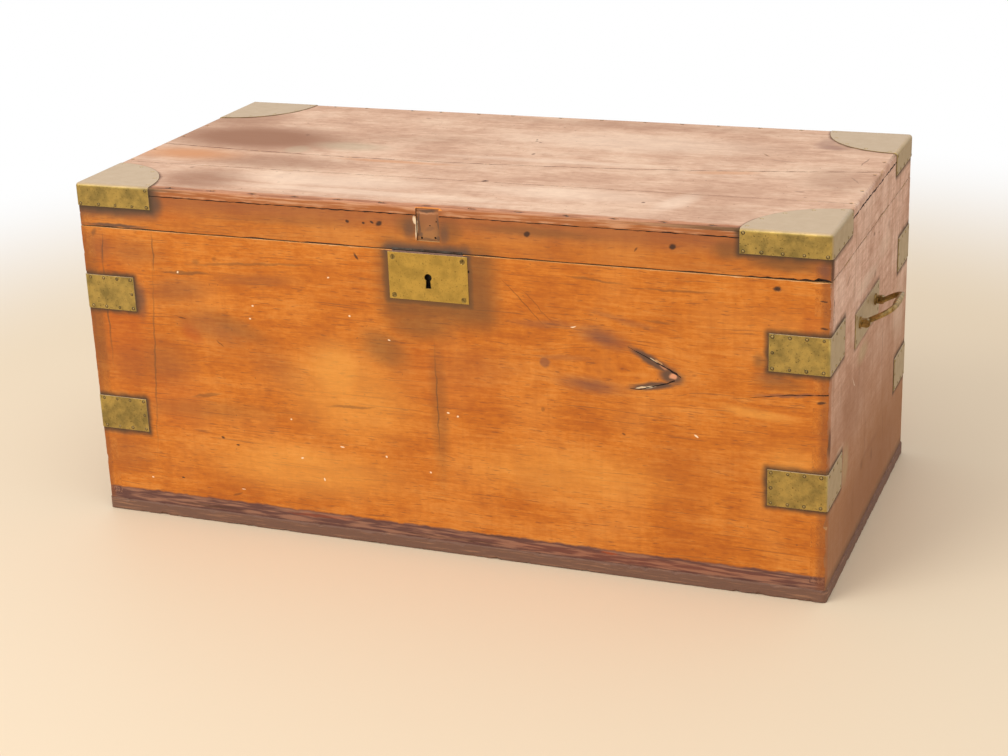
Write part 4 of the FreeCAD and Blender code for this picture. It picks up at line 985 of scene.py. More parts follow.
class Carver:
    """Takes closed cutters out of a copy of one node."""
    MERGE, FLAT = 1e-6, 0.4             # metres between doubles, degrees between faces that are one
    TOUCH = 1e-5                        # metres
    # a crack: millimetres that its cutter stands out, how its raggedness moves and widens it, and its depth's share
    OVER, DRIFT, SWELL, DEEP, LEAST = 0.5, 2.0, 1.5, (0.7, 1.2), 0.25
    # a worn edge: share of a step that a place is off, its depth's share, a larger loss, millimetres past the faces
    JITTER, UNEVEN, RARE_LOSS, LAP = 0.35, (0.45, 1.3), 2.2, 0.9
    # a chip: share of a corner's step that it is off, the cutter's height and share of the size there and at the bed
    TWIST, MOUTH, BED = 0.3, (0.6, 1.12), 0.72

    def __init__(self, node: str, finishes: Finishes, material: Material) -> None:
        """Copies the node's mesh, merged.

        Args:
            node: The node.
            finishes: All materials.
            material: The node's own material.
        """
        self.node = node
        self.finishes = finishes
        self.shape = bmesh.new()
        self.shape.from_mesh(frame["nodes"][node].data)
        bmesh.ops.remove_doubles(self.shape, verts=self.shape.verts, dist=self.MERGE)
        bmesh.ops.dissolve_limit(self.shape, angle_limit=math.radians(self.FLAT), verts=self.shape.verts,
                                 edges=self.shape.edges)
        self.cutter = bmesh.new()
        self.materials = [material]

    def loft(self, rings: Sequence[Sequence[Vector]], finish: str) -> None:
        """Adds a closed cutter through rings of points.

        Args:
            rings: The rings, each with as many points as the others.
            finish: What the cut shows.
        """
        material = self.materials[0] if finish == "own" else getattr(self.finishes, finish)
        if material not in self.materials:
            self.materials.append(material)
        number = self.materials.index(material)
        corners = [[self.cutter.verts.new(point) for point in ring] for ring in rings]
        count = len(rings[0])
        faces = [self.cutter.faces.new(corners[0]), self.cutter.faces.new(corners[-1])]
        for low, high in zip(corners, corners[1:]):
            for i in range(count):
                j = (i + 1) % count
                faces.append(self.cutter.faces.new((low[i], low[j], high[j], high[i])))
        for face in faces:
            face.material_index = number
        bmesh.ops.recalc_face_normals(self.cutter, faces=faces)

    def split(self, cut: Split, chance: random.Random) -> None:
        """Adds the cutter of a crack.

        Args:
            cut: The crack.
            chance: Its random numbers.
        """
        rings = []
        for u, v, width, du, dv in resampled(cut.line, cut.step):
            side = Vector((-dv, du)) * (width / 2)
            drift = side * chance.uniform(-cut.ragged, cut.ragged) * self.DRIFT
            wide = 1 + chance.uniform(-cut.ragged, cut.ragged) * self.SWELL
            deep = cut.depth * chance.uniform(*self.DEEP) * min(1.0, self.LEAST + width)
            lips = [(u + drift.x + k * side.x * wide * (1 + self.OVER / deep), v + drift.y + k * side.y * wide
                     * (1 + self.OVER / deep)) for k in (-1, 1)]
            rings.append([on_face(cut.face, *lips[0], self.OVER), on_face(cut.face, *lips[1], self.OVER),
                          on_face(cut.face, u + drift.x, v + drift.y, -deep)])
        self.loft(rings, cut.finish)

    def wear(self, cut: Wear, chance: random.Random) -> None:
        """Adds the cutter of a worn edge.

        Args:
            cut: The edge.
            chance: Its random numbers.
        """
        start, end = Vector(cut.start), Vector(cut.end)
        first, second = Vector(cut.first), Vector(cut.second)
        count = max(2, round((end - start).length / cut.step))
        rings = []
        for i in range(count + 1):
            spot = start.lerp(end, i / count)
            if 0 < i < count:
                spot += (end - start).normalized() * chance.uniform(-self.JITTER, self.JITTER) * cut.step
            loss = self.RARE_LOSS if chance.random() < cut.losses else 1.0
            deep = cut.depth * loss * (1 + (cut.grow - 1) * i / count)
            a, b = (deep * chance.uniform(*self.UNEVEN) for _ in range(2))
            one, two = spot + first * a, spot + second * b
            slant = (one - two).normalized() * self.LAP
            rings.append([place(*(spot - first - second)), place(*(one + slant)), place(*(two - slant))])
        self.loft(rings, cut.finish)

    def chip(self, cut: Chip, chance: random.Random) -> None:
        """Adds the cutter of a chip.

        Args:
            cut: The chip.
            chance: Its random numbers.
        """
        turn = math.radians(cut.turn)
        outline = []
        for i in range(cut.corners):
            angle = math.tau * (i + chance.uniform(-self.TWIST, self.TWIST) * cut.ragged) / cut.corners
            reach = 1 + chance.uniform(-cut.ragged, cut.ragged)
            a, b = math.cos(angle) * cut.length * reach, math.sin(angle) * cut.width * reach
            outline.append((a * math.cos(turn) - b * math.sin(turn), a * math.sin(turn) + b * math.cos(turn)))
        self.loft([[on_face(cut.face, cut.u + a * grow, cut.v + b * grow, cut.base + out) for a, b in outline]
                   for out, grow in (self.MOUTH, (-cut.depth, self.BED))], cut.finish)

    def soften(self, edges: Iterable[bmesh.types.BMEdge], width: float, segments: int) -> None:
        """Rounds edges of the copy.

        Args:
            edges: Which edges.
            width: How wide, in millimetres.
            segments: Faces across the rounding.
        """
        bmesh.ops.bevel(self.shape, geom=list(edges), offset=width * MM, segments=segments, affect="EDGES",
                        profile=0.5, clamp_overlap=True)

    def folds(self) -> list[bmesh.types.BMEdge]:
        """The edges along which a sheet is folded round a corner of the chest.

        Returns:
            The edges that lie in two of the sheet's outer faces.
        """
        low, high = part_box(self.node)
        outer = [(0, high.x if high.x > -low.x else low.x), (1, high.y if high.y > -low.y else low.y),
                 (2, high.z if high.z > HEIGHT * MM else math.inf)]
        return [edge for edge in self.shape.edges
                if sum(all(abs(v.co[axis] - level) < self.TOUCH for v in edge.verts) for axis, level in outer) > 1]

    def sharp(self, angle: float) -> list[bmesh.types.BMEdge]:
        """The copy's edges that turn by more than an angle in degrees."""
        return [edge for edge in self.shape.edges
                if edge.is_manifold and edge.calc_face_angle(0.0) > math.radians(angle)]

    def finish(self, slot: str, body: str) -> Object:
        """Carves the copy, dresses it and puts it in the node's place.

        Args:
            slot: The record's material slot; not used.
            body: The body that it rides on.

        Returns:
            The finished piece.
        """
        piece, tool = (self.dressed(name, shape)
                       for name, shape in ((self.node + "_worn", self.shape), ("cutter", self.cutter)))
        if tool.data.polygons:
            carve = piece.modifiers.new("carve", "BOOLEAN")
            carve.operation, carve.solver, carve.object = "DIFFERENCE", "EXACT", tool
            carve.use_self = True
            carve.material_mode = "INDEX"
            applied(piece)
        bpy.data.objects.remove(tool)
        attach(piece, body)
        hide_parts(self.node)
        log.info("%s: %d faces", piece.name, len(piece.data.polygons))
        return piece

    def dressed(self, name: str, shape: bmesh.types.BMesh) -> Object:
        """An object of a shape, with all the materials.

        Args:
            name: Its name.
            shape: The shape, which is freed.

        Returns:
            The object.
        """
        mesh = bpy.data.meshes.new(name)
        shape.to_mesh(mesh)
        shape.free()
        for material in self.materials:
            mesh.materials.append(material)
        return put(name, mesh)


def resampled(line: Sequence[tuple[float, float, float]], step: float) -> list[tuple[float, ...]]:
    """Points at even steps along a line.

    Args:
        line: Place and width at each corner.
        step: Millimetres between points.

    Returns:
        Place, width and direction at each point.
    """
    points = []
    for (u0, v0, w0), (u1, v1, w1) in zip(line, line[1:]):
        length = math.hypot(u1 - u0, v1 - v0)
        count = max(1, round(length / step))
        for i in range(count):
            t = i / count
            points.append((u0 + (u1 - u0) * t, v0 + (v1 - v0) * t, w0 + (w1 - w0) * t,
                           (u1 - u0) / length, (v1 - v0) / length))
    points.append((*line[-1], *points[-1][3:]))
    return points


def seam(left: float, right: float, bow: float, steps: int = 24) -> list[tuple[float, float]]:
    """A seam of the top, from the left end to the right.

    Args:
        left: Millimetres from the front at the left end.
        right: The same at the right end.
        bow: How far the arc's middle stands in front of the straight line.
        steps: Number of pieces.

    Returns:
        Points of the seam.
    """
    return [(WIDTH * i / steps, left + (right - left) * i / steps - bow * 4 * (i / steps) * (1 - i / steps))
            for i in range(steps + 1)]


FRONT_SEAM = seam(112.0, 125.0, 0.0)
BACK_SEAM = seam(208.0, 267.0, 38.7)
CASE = ("front_board", "back_board", "left_end_board", "right_end_board")
RIM = ("lid_front_rail", "lid_back_rail", "lid_left_rail", "lid_right_rail")
TOPS = ("top_board_front", "top_board_middle", "top_board_back")
BOTTOMS = ("bottom_board_front", "bottom_board_back")
PROUD = 2.0         # millimetres that the bottom boards stand out all round
SPLITS = (
    Split(Face.FRONT, ((694, 282, 0.4), (713, 273, 0.9), (725, 267, 1.2), (738, 261, 1.5), (746, 257, 2.6),
                       (755, 252, 0.9)), ("front_board",), depth=2.5, ragged=0.3, step=4.0),
    Split(Face.FRONT, ((748, 247, 1.8), (739, 243, 1.3), (727, 239, 1.1), (708, 233, 1.0), (696, 233, 0.4)),
          ("front_board",), depth=2.2, ragged=0.3, step=4.0),
    Split(Face.FRONT, ((817, 233, 0.3), (850, 239, 0.5), (878, 244, 0.7), (919, 247, 1.0)), ("front_board",
          "right_end_board"), depth=3.0, step=5.0),
    Split(Face.FRONT, ((4, TOP_SEAM, 0.8), (300, TOP_SEAM - 0.3, 1.1), (600, TOP_SEAM, 0.8), (916, TOP_SEAM, 1.2)),
          ("top_board_front", "lid_front_rail"), depth=2.0, ragged=0.35, step=6.0),
    Split(Face.RIGHT, ((4, TOP_SEAM, 1.4), (230, TOP_SEAM, 1.8), (453, TOP_SEAM, 1.6)),
          ("lid_right_rail", *TOPS), depth=2.0, ragged=0.5, step=6.0),
    Split(Face.LEFT, ((4, TOP_SEAM, 1.2), (453, TOP_SEAM, 1.2)), ("lid_left_rail", *TOPS), depth=1.6, step=8.0),
    Split(Face.BACK, ((4, TOP_SEAM, 1.2), (916, TOP_SEAM, 1.2)), ("lid_back_rail", "top_board_back"), depth=1.6,
          step=10.0),
    Split(Face.TOP, tuple((x, y, 0.8) for x, y in FRONT_SEAM), ("top_board_front", "top_board_middle"), depth=1.2,
          ragged=0.45, finish="gap"),
    Split(Face.TOP, tuple((x, y, 1.4) for x, y in BACK_SEAM), ("top_board_middle", "top_board_back"), depth=1.6,
          ragged=0.45, finish="gap"),
    Split(Face.RIGHT, ((12, 352, 1.4), (13, 340, 2.2), (12, 322, 0.8)), ("right_end_board", "front_board"), step=4.0),
    # cracks at the rear straps' front edges, whose dark finish also stands for painted shade there
    Split(Face.RIGHT, ((388, 305, 0.6), (389, 285, 2.4), (390, 262, 0.8)), ("right_end_board",), step=5.0),
    Split(Face.RIGHT, ((404, 141, 0.5), (405, 122, 1.8), (405, 104, 0.6)), ("right_end_board",), step=5.0),
)
CHIPS = (
    Chip(Face.FRONT, 714, 236.4, 13, 1.6, ("front_board",), 0.4, 9),
    Chip(Face.FRONT, 729, 267.5, 6, 1.3, ("front_board",), 0.5, -26, finish="chip"),
    Chip(Face.FRONT, 451, 364, 2.2, 2.2, ("front_board",), 0.4),
    Chip(Face.FRONT, 507, 354, 1.6, 1.6, ("front_board",), 1.5, finish="crack"),
    Chip(Face.FRONT, 862, 362, 5, 2.8, ("front_board",), 0.4),
    Chip(Face.FRONT, 449, 412, 3.4, 6.0, ("lid_front_rail",), 1.1, 8, finish="chip"),
    Chip(Face.FRONT, 462, 424.6, 19, 2.4, ("top_board_front",), 1.6, 1, finish="fresh"),
    Chip(Face.FRONT, 451.5, 389, 1.4, 1.4, ("lid_front_rail",), 4.0, finish="crack", corners=8),
    Chip(Face.FRONT, 468.0, 390, 1.5, 1.5, ("lid_front_rail",), 4.0, finish="crack", corners=8),
    Chip(Face.FRONT, 462.0, 404, 0.9, 0.9, ("lid_front_rail",), 4.0, finish="crack", corners=8),
    Chip(Face.FRONT, 470.0, 409, 0.9, 0.9, ("lid_front_rail",), 4.0, finish="crack", corners=8),
    Chip(Face.TOP, 771, 316, 10, 1.2, ("top_board_back",), 0.4, -48),
    Chip(Face.TOP, 482, 123, 4, 2.5, ("top_board_front", "top_board_middle"), 0.8, 20, finish="crack"),
)
WEARS = (
    # the case's top edge, rounded and pale: rubbing wear with a painted highlight under the parting gap
    Wear((0, 0, PARTING), (WIDTH, 0, PARTING), (0, 0, -1), (0, 1, 0), CASE, 0.7, finish="rubbed_and_highlit"),
    # the lid's lower front edge, rounded and dark: painted shade of the parting gap
    Wear((0, 0, LID_EDGE), (835, 0, LID_EDGE), (0, 0, 1), (0, 1, 0), RIM, 1.0, 0.0, 24.0, "crack"),
    Wear((820, 0, LID_EDGE), (WIDTH, 0, LID_EDGE), (0, 0, 1), (0, 1, 0), RIM, 1.1, 0.05, 7.0, "crack", 2.0),
    Wear((WIDTH, 0, LID_EDGE), (WIDTH, 0, 399), (-1, 0, 0), (0, 1, 0), RIM, 1.5, 0.2, 4.0),
    Wear((0, 0, LID_EDGE), (0, 0, 399), (1, 0, 0), (0, 1, 0), RIM, 1.6, 0.2, 5.0),
    # the lid's lower right edge, dark: painted shade of the parting gap
    Wear((WIDTH, 0, LID_EDGE), (WIDTH, DEPTH, LID_EDGE), (0, 0, 1), (-1, 0, 0), RIM, 0.8, 0.05, 16.0, "crack"),
    Wear((WIDTH, 0, PARTING), (WIDTH, DEPTH, PARTING), (0, 0, -1), (-1, 0, 0), CASE, 0.9),
    Wear((0, 0, LID_EDGE), (0, DEPTH, LID_EDGE), (0, 0, 1), (1, 0, 0), RIM, 0.8),
    Wear((0, 0, PARTING), (0, DEPTH, PARTING), (0, 0, -1), (1, 0, 0), CASE, 0.8),
    Wear((BRACKET, 0, HEIGHT), (WIDTH - BRACKET, 0, HEIGHT), (0, 0, -1), (0, 1, 0), TOPS, 1.5, 0.04, 9.0),
    Wear((WIDTH, BRACKET, HEIGHT), (WIDTH, DEPTH - BRACKET, HEIGHT), (0, 0, -1), (-1, 0, 0), TOPS, 1.5, 0.10, 6.0),
    Wear((0, BRACKET, HEIGHT), (0, DEPTH - BRACKET, HEIGHT), (0, 0, -1), (1, 0, 0), TOPS, 1.5, 0.08, 7.0),
    Wear((BRACKET, DEPTH, HEIGHT), (WIDTH - BRACKET, DEPTH, HEIGHT), (0, 0, -1), (0, -1, 0), TOPS, 1.2, 0.05, 10.0),
    *(Wear((-PROUD, y, z), (WIDTH + PROUD, y, z), (0, 0, 1 if z == 0 else -1), (0, -math.copysign(1, y), 0), BOTTOMS,
           1.5, 0.15, 6.0) for y in (-PROUD, DEPTH + PROUD) for z in (0, BOTTOM)),
    *(Wear((x, -PROUD, z), (x, DEPTH + PROUD, z), (0, 0, 1 if z == 0 else -1), (-math.copysign(1, x), 0, 0), BOTTOMS,
           1.5, 0.15, 6.0) for x in (-PROUD, WIDTH + PROUD) for z in (0, BOTTOM)),
    *(Wear((x, -PROUD, 0), (x, -PROUD, BOTTOM), (way, 0, 0), (0, 1, 0), BOTTOMS[:1], depth, 0.3, 4.0)
      for x, way, depth in ((WIDTH + PROUD, -1, 5.0), (-PROUD, 1, 3.0))),
    *(Wear((x, y, low), (x, y, high), (1 if x == 0 else -1, 0, 0), (0, 1 if y == 0 else -1, 0), CASE, 1.5, 0.12, 6.0)
      for x in (0, WIDTH) for y in (0, DEPTH)
      for low, high in ((BOTTOM, STRAPS[0][0]), (STRAPS[0][1], STRAPS[1][0]), (STRAPS[1][1], PARTING))),
)


# ---------------------------------------------------------------- nails

@dataclass(frozen=True)
class Nail:
    """One nail head."""
    face: Face
    u: float
    v: float
    out: float = 0.0            # millimetres from the wood's face to the middle of the head


@dataclass(frozen=True)
class NailKind:
    """Nails of one make, driven into one body."""
    name: str
    body: str
    slot: str
    radius: float               # millimetres
    height: float
    ring: float                 # radius of the grime round the head
    head_finish: str
    ring_finish: str
    nails: tuple[Nail, ...]


class Nailer:
    """Drives domed nail heads, each on a thin ring of grime, with Geometry Nodes."""
    RING = 0.06 * MM            # thickness of the grime
    SMALLEST, LARGEST, SEED = 0.86, 1.10, 7
    SEGMENTS, RINGS, RING_SEGMENTS = 10, 6, 12

    def __init__(self, finishes: Finishes) -> None:
        """Builds the node tree once for all nails.

        Args:
            finishes: All materials.
        """
        self.finishes = finishes
        self.tree = self.make_tree()

    def make_tree(self) -> NodeTree:
        """Heads and rings on every point, turned to face out of the surface.

        Returns:
            The tree.
        """
        tree = bpy.data.node_groups.new("nail_heads", "GeometryNodeTree")
        for name, kind in (("Points", "Geometry"), ("Head radius", "Float"), ("Head height", "Float"),
                           ("Ring radius", "Float"), ("Head finish", "Material"), ("Ring finish", "Material")):
            tree.interface.new_socket(name, in_out="INPUT", socket_type="NodeSocket" + kind)
        tree.interface.new_socket("Nails", in_out="OUTPUT", socket_type="NodeSocketGeometry")
        given = add(tree, "NodeGroupInput").outputs
        outward = add(tree, "GeometryNodeInputNamedAttribute", {"Name": "out"}, data_type="FLOAT_VECTOR")
        turned = add(tree, "FunctionNodeAlignRotationToVector", {"Vector": outward}, axis="Z")
        size = add(tree, "FunctionNodeRandomValue", {2: self.SMALLEST, 3: self.LARGEST, "Seed": self.SEED},
                   data_type="FLOAT").outputs[1]
        low = add(tree, "Math", {0: given["Head height"], 1: given["Head radius"]}, operation="DIVIDE")
        flat = add(tree, "CombineXYZ", {0: 1.0, 1: 1.0, 2: low})
        ball = add(tree, "GeometryNodeMeshUVSphere", {
            "Segments": self.SEGMENTS, "Rings": self.RINGS, "Radius": given["Head radius"]})
        dome = add(tree, "GeometryNodeTransform", {"Geometry": ball, "Scale": flat})
        smooth = add(tree, "GeometryNodeSetShadeSmooth", {"Geometry": dome})
        ring = add(tree, "GeometryNodeMeshCylinder", {
            "Vertices": self.RING_SEGMENTS, "Radius": given["Ring radius"], "Depth": self.RING})
        join = add(tree, "GeometryNodeJoinGeometry")
        for shape, finish in ((smooth, "Head finish"), (ring, "Ring finish")):
            placed = add(tree, "GeometryNodeInstanceOnPoints", {
                "Points": given["Points"], "Instance": shape, "Rotation": turned, "Scale": size})
            real = add(tree, "GeometryNodeRealizeInstances", {0: placed})
            dressed = add(tree, "GeometryNodeSetMaterial", {"Geometry": real, "Material": given[finish]})
            tree.links.new(dressed.outputs[0], join.inputs[0])
        add(tree, "NodeGroupOutput", {0: join})
        return tree

    def drive(self, kind: NailKind) -> None:
        """Makes one piece of all the nails of a kind.

        Args:
            kind: The nails.
        """
        mesh = bpy.data.meshes.new(kind.name)
        mesh.from_pydata([on_face(nail.face, nail.u, nail.v, nail.out) for nail in kind.nails], [], [])
        outward = mesh.attributes.new("out", "FLOAT_VECTOR", "POINT")
        for item, nail in zip(outward.data, kind.nails):
            item.vector = on_face(nail.face, 0, 0, 1) - on_face(nail.face, 0, 0)
        piece = put(kind.name, mesh)
        heads = piece.modifiers.new("heads", "NODES")
        heads.node_group = self.tree
        values = {"Head radius": kind.radius * MM, "Head height": kind.height * MM, "Ring radius": kind.ring * MM,
                  "Head finish": getattr(self.finishes, kind.head_finish),
                  "Ring finish": getattr(self.finishes, kind.ring_finish)}
        for socket in self.tree.interface.items_tree:
            if socket.in_out == "INPUT" and socket.name in values:
                heads[socket.identifier] = values[socket.name]
        applied(piece)
        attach(piece, kind.body)
        log.info("%s: %d nails", kind.name, len(kind.nails))


@dataclass(frozen=True)
class Fastenings:
    """Where the nails are, in millimetres from the chest's nearest corner."""
    brass_face: float = 0.8                             # the sheet brass stands out of the wood
    strap_front: tuple[float, ...] = (7.0, 25.5, 44.0, 63.0)
    strap_side: tuple[float, ...] = (7.0, 27.0, 47.0, 66.5)
    strap_margin: float = 3.4
    bracket_row: tuple[float, ...] = (5.0, 30.0, 53.0, 76.0, 96.0)
    bracket_low: float = 401.6
    bracket_high: float = 422.0
    bracket_arc: float = 95.0
    arc_angles: tuple[float, ...] = (6.0, 25.0, 45.0, 65.0, 84.0)
    sunk: float = 0.5                                   # heads in the top of a bracket lie in dimples
    iron_depth: float = 0.85                            # iron heads lie this far below the wood
    plank_margin: float = 5.5
    end_row: tuple[int, float, float] = (5, 18.0, 1.15)     # number, start past the bracket and share of the spacing
    hasp_gap: tuple[float, float, float] = (440.0, 480.0, 20.0)     # the lost hasp plate: from, to and how far back
    bottom_long: tuple[int, float, float] = (9, 30.0, 107.0)        # number, start and spacing
    bottom_short: tuple[int, float, float] = (4, 70.0, 104.0)

    def corners(self) -> list[tuple[Face, float, int]]:
        """Each upright face at each corner: the face, the corner's place along it, and the way from there."""
        return [(face, start, way) for right in (0, 1) for back in (0, 1)
                for face, start, way in (
                    (Face.BACK if back else Face.FRONT, WIDTH * right, 1 - 2 * right),
                    (Face.RIGHT if right else Face.LEFT, DEPTH * back, 1 - 2 * back))]

    def strap_pins(self) -> tuple[Nail, ...]:
        """The pins of the eight straps."""
        nails = []
        for face, start, way in self.corners():
            row = self.strap_front if face in (Face.FRONT, Face.BACK) else self.strap_side
            for low, high in STRAPS:
                spots = [(d, z) for d in row for z in (low + self.strap_margin, high - self.strap_margin)]
                spots.append((row[-1], (low + high) / 2))
                nails += [Nail(face, start + way * d, z, self.brass_face) for d, z in spots]
        return tuple(nails)

    def bracket_pins(self) -> tuple[Nail, ...]:
        """The pins in the upright leaves of the four brackets."""
        spots = [*((d, self.bracket_low) for d in self.bracket_row), (self.bracket_row[-1], self.bracket_high)]
        return tuple(Nail(face, start + way * d, z, self.brass_face) for face, start, way in self.corners()
                     for d, z in spots)

    def bracket_top_pins(self) -> tuple[Nail, ...]:
        """The sunk pins along the round edge of the brackets' tops."""
        nails = []
        for right in (False, True):
            for back in (False, True):
                for angle in self.arc_angles:
                    dx, dy = (self.bracket_arc * f(math.radians(angle)) for f in (math.cos, math.sin))
                    nails.append(Nail(Face.TOP, WIDTH - dx if right else dx, DEPTH - dy if back else dy,
                                      self.brass_face - self.sunk))
        return tuple(nails)

    def plank_nails(self) -> tuple[Nail, ...]:
        """The iron nails of the top, sunk below the wood; none by the lost hasp plate."""
        chance = random.Random("top nails")
        nails = []
        margin = self.plank_margin
        count, start, share = self.end_row
        left, right, back = self.hasp_gap
        for i in range(TOP_NAILS):
            x = BRACKET + FIRST_NAIL + i * NAIL_SPACING + chance.uniform(-3, 3)
            nails += [(x, margin + chance.uniform(-1, 2)), (x + chance.uniform(-9, 9), DEPTH - margin)]
        for i in range(count):
            y = BRACKET + start + i * NAIL_SPACING * share + chance.uniform(-6, 6)
            nails += [(margin + chance.uniform(0, 2), y), (WIDTH - margin - chance.uniform(0, 2), y + 4)]
        return tuple(Nail(Face.TOP, x, y, -self.iron_depth) for x, y in nails
                     if not (left < x < right and y < back) and x < WIDTH - 2)

    def bottom_nails(self) -> tuple[Nail, ...]:
        """The iron nails that hold the bottom boards."""
        chance = random.Random("bottom nails")
        edge = BOARD / 2
        nails = []
        count, start, spacing = self.bottom_long
        for i in range(count):
            x = start + i * spacing + chance.uniform(-8, 8)
            nails += [(x, edge + chance.uniform(-2, 2)), (x + chance.uniform(-9, 9), DEPTH - edge)]
        count, start, spacing = self.bottom_short
        for i in range(count):
            y = start + i * spacing + chance.uniform(-8, 8)
            nails += [(edge, y), (WIDTH - edge, y + chance.uniform(-5, 5))]
        return tuple(Nail(Face.BOTTOM, x, y, -self.iron_depth) for x, y in nails)

    def kinds(self) -> list[NailKind]:
        """All nails, by make and body."""
        return [
            NailKind("strap_pins", "case", "screw_brass", 1.45, 0.6, 2.0, "pins", "grime", self.strap_pins()),
            NailKind("bracket_pins", "lid", "screw_brass", 1.45, 0.6, 2.0, "pins", "grime", self.bracket_pins()),
            NailKind("bracket_top_pins", "lid", "screw_brass", 1.8, 0.38, 2.0, "sheet_brass", "grime",
                     self.bracket_top_pins()),
            NailKind("top_nails", "lid", "lock_iron", 2.1, 0.35, 2.3, "iron", "grime", self.plank_nails()),
            NailKind("bottom_nails", "case", "lock_iron", 2.6, 0.35, 2.8, "iron", "grime", self.bottom_nails()),
        ]

    def dimples(self) -> list[Chip]:
        """The hollows that sunk heads lie in."""
        brackets = tuple(f"{y}_{x}_lid_bracket" for y in ("front", "back") for x in ("left", "right"))
        made = [Chip(nail.face, nail.u, nail.v, 3.0, 3.0, brackets, 0.55, corners=12, ragged=0.0,
                     base=self.brass_face) for nail in self.bracket_top_pins()]
        for nails, boards in ((self.plank_nails(), TOPS), (self.bottom_nails(), BOTTOMS)):
            made += [Chip(nail.face, nail.u, nail.v, 3.3, 3.3, boards, 1.0, ragged=0.15) for nail in nails]
        return made


# ---------------------------------------------------------------- the chest and the studio

class WornChest:
    """Every node of the chest, worn and dressed, with its nails."""
    CARVED = ("shellacked_camphor", "weathered_end_camphor", "faded_top_camphor", "painted_bottom_wood",
              "sheet_brass")
    FOLD, BURR = 1.1, 0.22          # millimetres that round the brass's folds and its other edges
    SHARP = 60.0                    # degrees that those turn by

    def __init__(self, finishes: Finishes) -> None:
        """Reads the record's slots and bodies.

        Args:
            finishes: All materials.
        """
        self.finishes = finishes
        record = frame["record"]
        self.slots = {part["node"]: part["material_slot"] for part in record["subparts"]}
        self.bodies = {node: body for body, nodes in record["behaviour"]["bodies"].items() for node in nodes}

    def build(self) -> None:
        """Carves or dresses each node, then drives the nails."""
        fastenings = Fastenings()
        cuts = [*SPLITS, *CHIPS, *WEARS, *fastenings.dimples()]
        for node, slot in self.slots.items():
            material = self.finishes.of(node, slot)
            if slot in self.CARVED:
                self.carve(node, slot, material, cuts)
            else:
                materials = frame["nodes"][node].data.materials
                materials.clear()
                materials.append(material)
        nailer = Nailer(self.finishes)
        for kind in fastenings.kinds():
            nailer.drive(kind)

    def carve(self, node: str, slot: str, material: Material, cuts: Iterable[Split | Chip | Wear]) -> None:
        """Replaces one node by its worn copy.

        Args:
            node: The node.
            slot: Its slot.
            material: Its own material.
            cuts: All cuts of the chest.
        """
        carver = Carver(node, self.finishes, material)
        if slot == "sheet_brass":
            if not node.endswith("backplate"):
                carver.soften(carver.folds(), self.FOLD, 3)
            carver.soften(carver.sharp(self.SHARP), self.BURR, 1)
        for number, cut in enumerate(cuts):
            if node in cut.boards and self.near(node, cut):
                make = {Split: carver.split, Chip: carver.chip, Wear: carver.wear}[type(cut)]
                make(cut, random.Random(f"cut {number}"))
        carver.finish(slot, self.bodies[node])

    def near(self, node: str, cut: Split | Chip | Wear) -> bool:
        """Whether a chip is at a node; longer cuts always count.

        Args:
            node: The node.
            cut: The cut.

        Returns:
            True if it may touch the node.
        """
        if not isinstance(cut, Chip):
            return True
        low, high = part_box(node)
        middle, slack = on_face(cut.face, cut.u, cut.v, cut.base), (cut.length + 1.0) * MM
        return all(low[i] - slack < middle[i] < high[i] + slack for i in range(3))


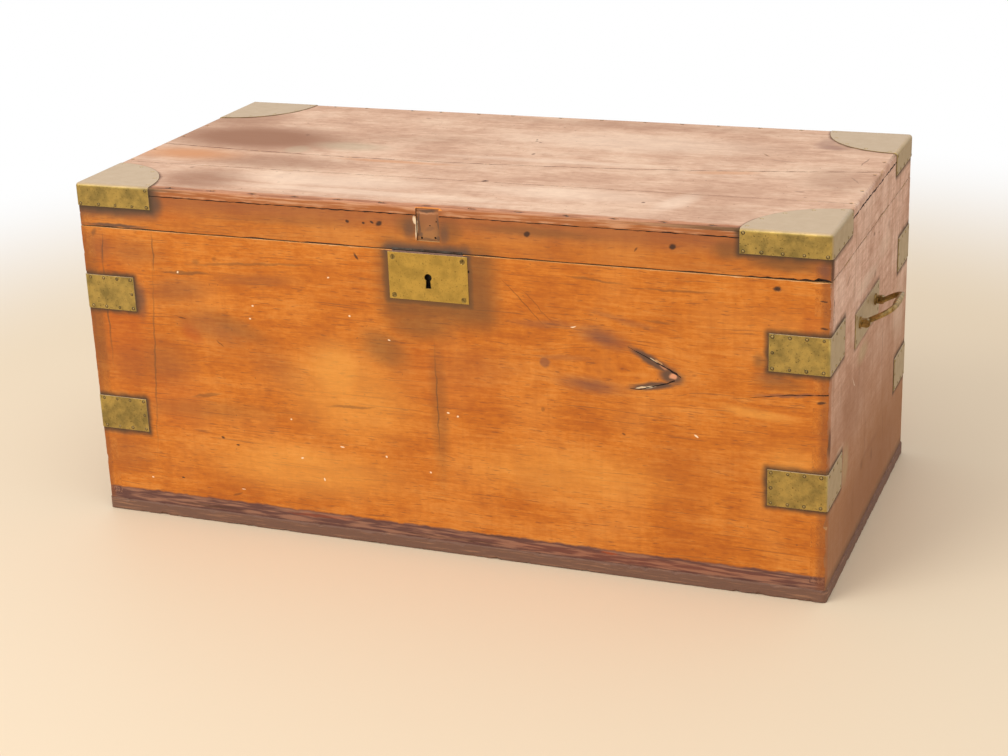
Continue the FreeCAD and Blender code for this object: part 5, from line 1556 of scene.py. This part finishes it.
@dataclass(frozen=True)
class Studio:
    """Pale floor, white surroundings, soft lamps and the camera."""
    azimuth: float = 21.89      # degrees to the right of straight in front
    elevation: float = 20.33
    roll: float = -2.21
    position: tuple[float, float, float] = (0.8657, -2.1703, 1.0056)
    lens: float = 69.92
    sensor: float = 36.0
    surroundings: float = 0.75
    lamps: tuple[tuple[str, tuple[float, float, float], float, float], ...] = (     # place, size and power
        ("key", (-1.6, -2.6, 2.6), 2.2, 56.0), ("fill", (0.2, -1.2, 3.2), 2.6, 30.0))
    aim: tuple[float, float, float] = (0.0, 0.0, 0.25)
    floor_reach: float = 14.0
    fade: tuple[float, float] = (0.9, 1.9)              # metres at which the floor begins to fade and is white

    def build(self) -> None:
        """Makes the camera, the light and the floor."""
        self.make_camera()
        self.make_light()
        self.make_floor()

    def make_camera(self) -> None:
        """Places the camera from its angles."""
        azimuth, elevation = math.radians(self.azimuth), math.radians(self.elevation)
        back = Vector((math.sin(azimuth) * math.cos(elevation), -math.cos(azimuth) * math.cos(elevation),
                       math.sin(elevation)))
        right = (-back).cross(Vector((0, 0, 1))).normalized()
        up = right.cross(-back)
        turn = Matrix((right, up, back)).transposed().to_4x4() @ Matrix.Rotation(math.radians(self.roll), 4, "Z")
        camera = put("camera", bpy.data.cameras.new("camera"))
        camera.data.lens = self.lens
        camera.data.sensor_width = self.sensor
        camera.data.clip_end = 50.0
        camera.matrix_world = Matrix.Translation(self.position) @ turn
        bpy.context.scene.camera = camera

    def make_light(self) -> None:
        """White surroundings and two large soft lamps."""
        world = bpy.data.worlds.new("studio")
        tree = emptied(world)
        seen = add(tree, "LightPath").outputs
        shown = add(tree, "Math", {0: seen["Is Camera Ray"], 1: seen["Is Glossy Ray"]}, operation="MAXIMUM")
        strength = add(tree, "MapRange", {"Value": shown, "To Min": self.surroundings, "To Max": 1.0})
        background = add(tree, "Background", {"Color": (1, 1, 1, 1), "Strength": strength})
        add(tree, "OutputWorld", {"Surface": background})
        bpy.context.scene.world = world
        for name, where, size, power in self.lamps:
            lamp = put(name, bpy.data.lights.new(name, "AREA"))
            lamp.data.shape = "SQUARE"
            lamp.data.size = size
            lamp.data.energy = power
            lamp.location = where
            lamp.rotation_euler = (Vector(self.aim) - Vector(where)).to_track_quat("-Z", "Y").to_euler()

    def make_floor(self) -> None:
        """A pale floor that fades into the white surroundings."""
        mesh = bpy.data.meshes.new("floor")
        reach = self.floor_reach
        mesh.from_pydata([(-reach, -reach, 0), (reach, -reach, 0), (reach, reach, 0), (-reach, reach, 0)], [],
                         [(0, 1, 2, 3)])
        shading = Shading("pale_floor")
        tree = shading.tree
        distance = add(tree, "VectorMath", {0: shading.source["Object"]}, operation="LENGTH").outputs["Value"]
        far = add(tree, "MapRange", {"Value": distance, "From Min": self.fade[0], "From Max": self.fade[1]},
                  interpolation_type="SMOOTHSTEP")
        matt = add(tree, "BsdfPrincipled", {"Base Color": linear("#E3CFB2"), "Roughness": 0.6})
        seen = add(tree, "LightPath").outputs["Is Camera Ray"]
        white = add(tree, "Math", {0: far, 1: seen}, operation="MULTIPLY")
        glow = add(tree, "Emission", {"Color": (1, 1, 1, 1), "Strength": 1.0})
        mixed = add(tree, "MixShader", {0: white, 1: matt, 2: glow})
        add(tree, "OutputMaterial", {"Surface": mixed})
        mesh.materials.append(shading.material)
        put("floor", mesh)


def main() -> None:
    """Builds the chest's looks."""
    logging.basicConfig(level=logging.INFO, format="%(message)s")
    bpy.context.scene.view_settings.view_transform = "Standard"
    WornChest(Finishes()).build()
    Studio().build()


if __name__ == "__main__":
    main()
